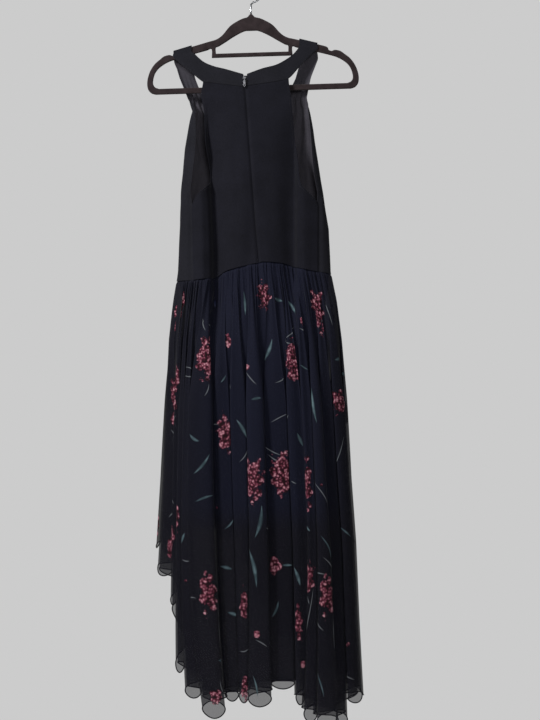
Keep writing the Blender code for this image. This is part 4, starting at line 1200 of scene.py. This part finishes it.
# Printed polyester chiffon: a sheer black ground that shows the layers behind it, and nearly opaque inks.
def chiffonMaterial():
    made, tree, place = newMaterial("printedChiffon")
    grain = addNode(tree, "TexNoise", {"Scale": 700.0, "Detail": 2.0, "Vector": place})
    # the plain ground, and a navy copy of it that is painted see-through light of the slip
    ground, paintedSlipShowThrough = (
        addNode(tree, "ValToRGB", {"Fac": grain, "stops": tuple(zip((0.3, 0.7), chiffon[key]))})
        for key in ("cloth", "paintedSlipShowThrough")
    )
    axes = addNode(tree, "SeparateXYZ", {"Vector": place}).outputs
    # painted see-through light: the ground turns navy above the slip's hem and within its width, standing in
    # for the slip seen through the cloth
    aside = addNode(tree, "Math", {"operation": "SUBTRACT", 0: axes["X"], 1: chiffon["slipMiddle"]})
    aside = addNode(tree, "Math", {"operation": "ABSOLUTE", 0: aside})
    share = 1.0
    for value, (start, end) in ((axes["Z"], chiffon["slipHem"]), (aside, chiffon["slipHalf"])):
        fade = addNode(tree, "MapRange", {
            "From Min": start, "From Max": end, "interpolation_type": "SMOOTHSTEP", "Value": value,
        })
        share = addNode(tree, "Math", {"operation": "MULTIPLY", 0: fade, 1: share})
    known = {}
    for name in ("bunch", "leaf"):
        held = addNode(tree, "Attribute", {"attribute_name": name}).outputs["Vector"]
        split = addNode(tree, "SeparateXYZ", {"Vector": held})
        known.update(zip((name + "X", name + "Y", name + "High"), split.outputs))
        width = addNode(tree, "Attribute", {"attribute_name": name + "Width"})
        known[name + "Width"] = width.outputs["Fac"]
    known["layers"] = addNode(tree, "Attribute", {"attribute_name": "layers"}).outputs["Fac"]

    def work(*steps):  # arithmetic in rows: result, operation, values, each a number or an earlier result
        for result, operation, *values in steps:
            settings = {k: known.get(value, value) for k, value in enumerate(values)}
            known[result] = addNode(tree, "Math", {"operation": operation, **settings}).outputs[0]

    work(("seed", "MULTIPLY", "bunchWidth", 3.77), ("seed", "MULTIPLY_ADD", "bunchHigh", 7.31, "seed"))
    work(("patternX", "ADD", "bunchX", "seed"), ("patternY", "MULTIPLY_ADD", "seed", 1.7, "bunchY"))
    pattern = addNode(tree, "CombineXYZ", {"X": known["patternX"], "Y": known["patternY"]})
    for name, kind, scale, detail in (
        ("ragged", "TexNoise", 0.30, {"Detail": 2.0, "noise_dimensions": "2D"}),
        ("speckle", "TexNoise", 0.55, {"Detail": 1.0, "noise_dimensions": "2D"}),
        ("shade", "TexNoise", 0.09, {"Detail": 1.0, "noise_dimensions": "2D"}),
        ("blossom", "TexVoronoi", 1 / flowerPrint["blossom"], {"voronoi_dimensions": "2D"}),
        ("petal", "TexVoronoi", 1 / flowerPrint["petal"], {"voronoi_dimensions": "2D"}),
    ):
        known[name] = addNode(tree, kind, {"Scale": scale, "Vector": pattern, **detail}).outputs[0]
    # a bunch is an oval whose edge is scalloped by its blossoms, and its petals are dark at their edges
    work(
        ("across", "DIVIDE", "bunchX", "bunchWidth"),
        ("down", "DIVIDE", "bunchY", "bunchHigh"),
        ("across", "MULTIPLY", "across", "across"),
        ("oval", "MULTIPLY_ADD", "down", "down", "across"),
        ("oval", "SQRT", "oval"),
        ("oval", "MULTIPLY_ADD", "blossom", 0.75, "oval"),
        ("oval", "MULTIPLY_ADD", "ragged", 0.60, "oval"),
        ("flowers", "LESS_THAN", "oval", 1.38),
        ("tone", "MULTIPLY_ADD", "petal", -1.25, -0.30),
        ("tone", "MULTIPLY_ADD", "shade", 1.25, "tone"),
        ("tone", "MULTIPLY_ADD", "ragged", 0.60, "tone"),
        ("tone", "MULTIPLY_ADD", "speckle", 1.15, "tone"),
        ("tone", "MULTIPLY_ADD", "blossom", -0.60, "tone"),
    )
    petals = addNode(tree, "ValToRGB", {"Fac": known["tone"], "stops": flowerPrint["red"]})
    # a leaf is pointed at both ends, and paler along its rib
    known["drift"] = addNode(tree, "TexNoise", {"Scale": 60.0, "Detail": 2.0, "Vector": place}).outputs[0]
    work(
        ("along", "DIVIDE", "leafX", "leafHigh"),
        ("along", "MULTIPLY", "along", "along"),
        ("along", "SUBTRACT", 1.0, "along"),
        ("along", "MAXIMUM", "along", 0.0),
        ("half", "POWER", "along", 1.15),
        ("half", "MULTIPLY", "half", "leafWidth"),
        ("off", "ABSOLUTE", "leafY"),
        ("leaves", "LESS_THAN", "off", "half"),
        ("half", "MAXIMUM", "half", 0.01),
        ("rib", "DIVIDE", "off", "half"),
        ("green", "MULTIPLY", "rib", -0.35),
        ("green", "MULTIPLY_ADD", "drift", 0.9, "green"),
        ("isStem", "LESS_THAN", "leafWidth", 1.45),
        ("inked", "MAXIMUM", "flowers", "leaves"),
        ("open", "MULTIPLY_ADD", "inked", chiffon["cover"] - chiffon["printCover"], 1 - chiffon["cover"]),
        ("open", "POWER", "open", "layers"),
        ("cover", "SUBTRACT", 1.0, "open"),
    )
    greens = addNode(tree, "ValToRGB", {"Fac": known["green"], "stops": flowerPrint["teal"]})

    def mix(amount, first, second):
        mixed = addNode(tree, "Mix", {"data_type": "RGBA", 0: amount, "A": first, "B": second})
        return mixed.outputs["Result"]

    leaf = mix(known["isStem"], greens, toLinear(flowerPrint["stem"]))
    # the painted navy of the slip showing through lies under the print
    colour = mix(known["leaves"], mix(share, ground, paintedSlipShowThrough), leaf)
    colour = mix(known["flowers"], colour, petals)
    return finishMaterial(made, {
        "Roughness": 0.78, "Sheen Weight": 0.08, "Sheen Roughness": 0.5, "Specular IOR Level": 0.2,
        "Base Color": colour, "Alpha": known["cover"],
    })


# The zip: a closed coil on its tape behind the centre back seam, its slider and pull at the top.
zipper = {
    "topZ": -0.1992,
    "lowZ": -0.5870,
    "tapeWidth": 0.0120,
    "tapeThick": 0.0005,
    "behind": 0.0044,       # how far the tape lies inside the bodice's section, under the seam's edges
    "coilPitch": 0.0015,
    "coilReach": 0.0013,
    "coilDeep": 0.0005,
    "coilWire": 0.00035,
    "coilInset": 0.003,     # how far from the tape's ends it stops
    "place": (-0.0134, -0.20700),
    "faceY": -0.01640,
    # outlines seen from the back of the dress, in mm from the slider's middle
    "plate": (
        (-2.5, 4.0), (-1.4, 4.0), (0.0, 3.5), (1.4, 4.0), (2.5, 4.0), (2.5, 1.0), (2.1, -0.6),
        (1.9, -2.6), (1.5, -4.0), (-1.5, -4.0), (-1.9, -2.6), (-2.1, -0.6), (-2.5, 1.0),
    ),
    "plateThick": 0.0010,
    "ear": (0.0018, 0.0007, 0.0014),  # distance from the middle, thickness, radius
    "earRoot": 0.0004,      # how deep the ears stand in the slider's face
    "plateEdge": 0.00025,
    "pullEdge": 0.0002,
    "smallEdge": 0.00012,
    "pinZ": -0.2090,
    "pinY": -0.018957,
    "pinRadius": 0.0006,
    "eye": (0.0024, 0.0014, 0.0009),  # width, outer radius, bore
    # the pull's outline from its eye down, and the slot in it
    "pull": (
        (-0.9, -1.0), (0.9, -1.0), (0.9, -2.6), (1.7, -3.6), (2.2, -5.0), (2.2, -14.4), (1.8, -15.8),
        (0.9, -16.7), (-0.9, -16.7), (-1.8, -15.8), (-2.2, -14.4), (-2.2, -5.0), (-1.7, -3.6),
        (-0.9, -2.6),
    ),
    "slot": (
        (-1.0, -11.5), (1.0, -11.5), (1.2, -12.5), (1.2, -14.2), (0.7, -15.2), (-0.7, -15.2), (-1.2, -14.2),
        (-1.2, -12.5),
    ),
    "pullThick": 0.0010,
    "metal": ("#8f9096", "#b9babf"),
    "rough": 0.38,
    "cloth": ("#101015", "#1d1d24"),
}


def zipPoint(z, across, out):
    x = zipX(z)
    return clothPoint(aroundAt(x + across, z, "back"), z, out - zipper["behind"] - hollow(x, z))


def tapePoints():
    z = np.linspace(zipper["topZ"], zipper["lowZ"], 130)[:, None]
    return zipPoint(z, np.linspace(-0.5, 0.5, 7)[None, :] * zipper["tapeWidth"], 0.0)


def coilPoints():
    height = zipper["topZ"] - zipper["lowZ"] - 2 * zipper["coilInset"]
    turns = int(height / zipper["coilPitch"])
    turn = np.arange(turns * 8) * math.pi / 4
    z = zipper["topZ"] - zipper["coilInset"] - turn / (2 * math.pi) * zipper["coilPitch"]
    lift = zipper["tapeThick"] / 2 + zipper["coilDeep"] + zipper["coilWire"]
    return zipPoint(z, np.cos(turn) * zipper["coilReach"], lift + np.sin(turn) * zipper["coilDeep"])


def scaled(outline):
    return [(across / 1000, up / 1000) for across, up in outline]


def disc(radius, steps=24):
    turns = np.linspace(0, 2 * math.pi, steps + 1)[:-1]
    return [(radius * math.cos(turn), radius * math.sin(turn)) for turn in turns]


def fromBack(x, y, z, sideways=False):  # stands an outline up to face the back of the dress, or its side
    turned = Matrix.Rotation(math.radians(90), 4, "X")
    if sideways:
        turned = Matrix.Rotation(math.radians(90), 4, "Z") @ turned
    return Matrix.Translation((x, y, z)) @ turned


def makeSlider(material):
    x, z = zipper["place"]
    pinY, pinZ, thick, small = (zipper[key] for key in ("pinY", "pinZ", "plateThick", "smallEdge"))
    place = fromBack(x, zipper["faceY"] + thick / 2, z)
    outline = [scaled(zipper["plate"])]
    plate = flatShape("zipSliderFace", outline, thick, zipper["plateEdge"], place, material)
    out, earThick, earRadius = zipper["ear"]
    foot = zipper["faceY"] + zipper["earRoot"] - pinY
    ear = [(foot, -earRadius * 1.2)] + [
        (-earRadius * math.sin(turn), -earRadius * math.cos(turn)) for turn in np.linspace(0, math.pi, 12)
    ] + [(foot, earRadius * 1.2)]
    ears = [
        flatShape(name, [ear], earThick, small, fromBack(x + side * out, pinY, pinZ, True), material)
        for name, side in (("zipEarLeft", -1), ("zipEarRight", 1))
    ]
    ends = [(x + side * (out + earThick / 2), pinY, pinZ) for side in (-1, 1)]
    return plate, *ears, tubeAlong("zipPin", evenly(ends, 0.001), zipper["pinRadius"], material, 16)


def makePull(material):
    pin = (zipper["place"][0], zipper["pinY"], zipper["pinZ"])
    wide, outer, bore = zipper["eye"]
    rings, outlines = [disc(outer), disc(bore)], [scaled(zipper["pull"]), scaled(zipper["slot"])]
    eye = flatShape("zipPullEye", rings, wide, zipper["smallEdge"], fromBack(*pin, True), material)
    thick, edge = zipper["pullThick"], zipper["pullEdge"]
    tab = flatShape("zipPullTab", outlines, thick, edge, fromBack(*pin), material)
    return tab, eye


# Woven polyester tape and a coil of the same colour: ribbed across, and dull.
def tapeMaterial():
    made, tree, place = newMaterial("wovenZipTape")
    ribs = addNode(tree, "TexWave", {
        "Scale": 500.0, "Distortion": 0.5, "bands_direction": "X", "Vector": place,
    })
    dye = addNode(tree, "ValToRGB", {"Fac": ribs, "stops": tuple(zip((0.0, 1.0), zipper["cloth"]))})
    raised = addNode(tree, "Bump", {"Strength": 0.4, "Distance": 0.0002, "Height": ribs})
    return finishMaterial(made, {"Roughness": 0.7, "Base Color": dye, "Normal": raised})


# The hook: a bright wire, bent round, its ends closed flat.
hook = {
    "wire": 0.0018,
    "radius": 0.0225,
    "start": math.radians(-78),
    "tip": math.radians(205),
    "steps": 72,
    "foot": -0.0678,
    "footHeight": 0.006,
    "neck": 0.004,
    "metal": ("#a9abb0", "#d4d6da"),
    "rough": 0.16,
}


def hookPath():
    centre = -hook["radius"] + hook["wire"]
    heights = (hook["foot"], hook["foot"] + hook["footHeight"], centre - hook["radius"] - hook["neck"])
    path = [(0.0, 0.0, z) for z in heights]
    for turn in np.linspace(hook["start"], hook["tip"], hook["steps"]):
        path.append((hook["radius"] * math.cos(turn), 0.0, centre + hook["radius"] * math.sin(turn)))
    return np.array(path)


# Plated steel or zinc: a plain mirror, broken a little by handling marks.
def metalMaterial(name, stops, rough):
    made, tree, place = newMaterial(name)
    marks = addNode(tree, "TexNoise", {"Scale": 320.0, "Detail": 4.0, "Vector": place})
    plating = addNode(tree, "ValToRGB", {"Fac": marks, "stops": tuple(zip((0.3, 0.7), stops))})
    scuffs = addNode(tree, "MapRange", {"To Min": rough * 0.8, "To Max": rough * 1.4, "Value": marks})
    return finishMaterial(made, {"Metallic": 1.0, "Roughness": scuffs, "Base Color": plating})


# Studio: a pale floor below the hem, a pale background and three large soft lights.
studio = {
    "floorZ": -1.95,
    "floorSolid": 0.55,
    "floorFade": 0.95,
    "floor": "#d2d1cf",
    "floorGlow": 0.55,  # light that the floor gives back from the room, beyond the three lamps
    "surround": 0.16,   # share of the background's light that falls on the dress
    "aim": (0.0, 0.0, -0.8),
    "lights": (
        # name, place, size, power
        ("key", (-1.9, -1.8, 1.0), 0.6, 52.0),
        ("front", (0.5, -3.2, -0.2), 0.9, 16.0),
        ("rear", (0.3, 2.2, 0.4), 1.6, 10.0),
    ),
}


def makeStudio():
    world = bpy.data.worlds.new("studio")
    scene.world = world
    world.use_nodes = True
    plain = world.node_tree.nodes["Background"]
    plain.inputs["Color"].default_value = toLinear(photograph["background"])
    seen = addNode(world.node_tree, "LightPath", {}).outputs["Is Camera Ray"]
    strength = addNode(world.node_tree, "MapRange", {
        "To Min": studio["surround"], "To Max": 1.0, "Value": seen,
    })
    setInputs(world.node_tree, plain, {"Strength": strength})
    for name, place, size, power in studio["lights"]:
        lamp = bpy.data.lights.new(name, "AREA")
        lamp.energy = power
        lamp.size = size
        holder = bpy.data.objects.new(name, lamp)
        holder.location = place
        aim = Vector(studio["aim"]) - Vector(place)
        holder.rotation_euler = aim.to_track_quat("-Z", "Y").to_euler()
        scene.collection.objects.link(holder)
    made, tree, place = newMaterial("paintedFloor")
    away = addNode(tree, "VectorMath", {"operation": "LENGTH", 0: place})
    fade = addNode(tree, "MapRange", {
        "From Min": studio["floorSolid"], "From Max": studio["floorFade"], "To Min": 1.0, "To Max": 0.0,
        "interpolation_type": "SMOOTHSTEP", "Value": away.outputs["Value"],
    })
    paint = toLinear(studio["floor"])
    finishMaterial(made, {
        "Roughness": 0.9, "Base Color": paint, "Emission Color": paint,
        "Emission Strength": studio["floorGlow"], "Alpha": fade,
    })
    circle = bmesh.new()
    bmesh.ops.create_circle(circle, cap_ends=True, segments=96, radius=studio["floorFade"] * 1.02)
    mesh = bpy.data.meshes.new("floor")
    circle.to_mesh(mesh)
    circle.free()
    mesh.materials.append(made)
    floor = bpy.data.objects.new("floor", mesh)
    floor.location = (0.0, 0.0, studio["floorZ"])
    scene.collection.objects.link(floor)
    eye = bpy.data.cameras.new("camera")
    eye.lens = photograph["lens"]
    eye.sensor_width = photograph["sensor"]
    camera = bpy.data.objects.new("camera", eye)
    camera.location = photograph["place"]
    camera.rotation_euler = (math.radians(90), 0.0, 0.0)
    scene.collection.objects.link(camera)
    scene.camera = camera


makeStudio()
print("studio, camera and floor made")

thread = threadMaterial()
rolledCloth = crepeMaterial("rolledChiffonHem", crepeColour["hem"])
crepe = crepeMaterial("polyesterCrepe", crepeColour["face"])
# the same crepe painted lighter for the front panels' side seen in the armholes: painted light
crepeReversePaintedLit = crepeMaterial("polyesterCrepeReversePaintedLit", crepeColour["reversePaintedLit"])
bandCrepe = crepeMaterial("polyesterCrepeFolded", crepeColour["folded"])
flock = flockMaterial()
hookMetal = metalMaterial("chromedSteelWire", hook["metal"], hook["rough"])
zipMetal = metalMaterial("nickelPlatedZinc", zipper["metal"], zipper["rough"])
zipCloth = tapeMaterial()
slip = liningMaterial()
sheer = chiffonMaterial()

frameNodes = ("hanger", "hanger_bar", "hanger_end_left", "hanger_end_right")
finishPiece(hangerShape(flock), "dress", "flock", *frameNodes)
wire = tubeAlong("wireHook", hookPath(), hook["wire"], hookMetal, 20)
finishPiece(wire, "dress", "hook_metal", "hanger_hook")
print("hanger made")

stitches = []
for word, side in (("left", -1), ("right", 1)):
    end, over = word.title(), ["neckband" + word.title()]
    points = neckbandPoints(side)
    for k in (1, neckband["columns"] - 2):
        stitches.append(seamLine(points, None, k, -1, 0.0, -1.0, sewing["bandLift"]))
    points = points if side < 0 else points[:, ::-1]
    band = clothSheet("neckband" + end, points, bandCrepe, neckband["thickness"])
    finishPiece(band, "dress", "crepe", "neckband_" + word)
    points = backPanelPoints(side)
    line = backBodice["columns"] - sewing["inEdge"]
    stitches.append(seamLine(points, None, line, -1, *sewing["backArmhole"]))
    points = points if side > 0 else points[:, ::-1]
    back = clothSheet("backBodice" + end, points, crepe, backBodice["thickness"])
    finishPiece(back, "dress", "crepe", "bodice_back_" + word)
    points = frontPanelPoints(side)
    line = frontBodice["columns"] - sewing["inEdge"]
    stitches.append(seamLine(points, None, line, -1, *sewing["frontArmhole"]))
    points = points if side < 0 else points[:, ::-1]
    # the front panels show the lighter reverse crepe through the armholes: painted light inside them
    front = clothSheet("frontBodice" + end, points, crepeReversePaintedLit, frontBodice["thickness"], bandCrepe)
    finishPiece(front, "dress", "crepe", "bodice_front_" + word)
print("bodice made")

tape = clothSheet("zipTape", tapePoints(), zipCloth, zipper["tapeThick"])
finishPiece(tape, "dress", "zip_tape", "zip_chain")
coil = tubeAlong("zipCoil", coilPoints(), zipper["coilWire"], zipCloth, 5)
finishPiece(coil, "dress", "zip_tape")
face, *rest = makeSlider(zipMetal)
finishPiece(face, "dress", "zip_metal", "zip_slider")
for piece in rest:
    finishPiece(piece, "dress", "zip_metal")
tab, eye = makePull(zipMetal)
finishPiece(tab, "pull", "zip_metal", "zip_pull")
finishPiece(eye, "pull", "zip_metal")
print("zip made")

for word, side, perFold in zip(("back", "front"), (-1, 1), skirt["columnsPerFold"]):
    end, above = word.title(), [word + "BodiceLeft", word + "BodiceRight"]
    points = skirtPoints(side)
    panel = clothSheet("skirt" + end, points, sheer)
    printOn(panel, points, perFold, side > 0)
    layersOn(panel, points)
    finishPiece(panel, "dress", "chiffon", "skirt_" + word)
    rolled = tubeAlong("rolledHem" + end, points[-1], skirt["hemRadius"], rolledCloth)
    finishPiece(rolled, "dress", "chiffon")
    points = liningPoints(side)
    stitches.append(seamLine(points, lining["rows"] - sewing["inEdge"], None, side, 0.0, -2.0))
    inner = clothSheet("slip" + end, points, slip, lining["thickness"])
    finishPiece(inner, "dress", "lining", "lining_" + word)
print("skirt and slip made")

finishPiece(stitchesAlong("seamStitches", stitches, thread), "dress", "crepe")
print("stitches made")
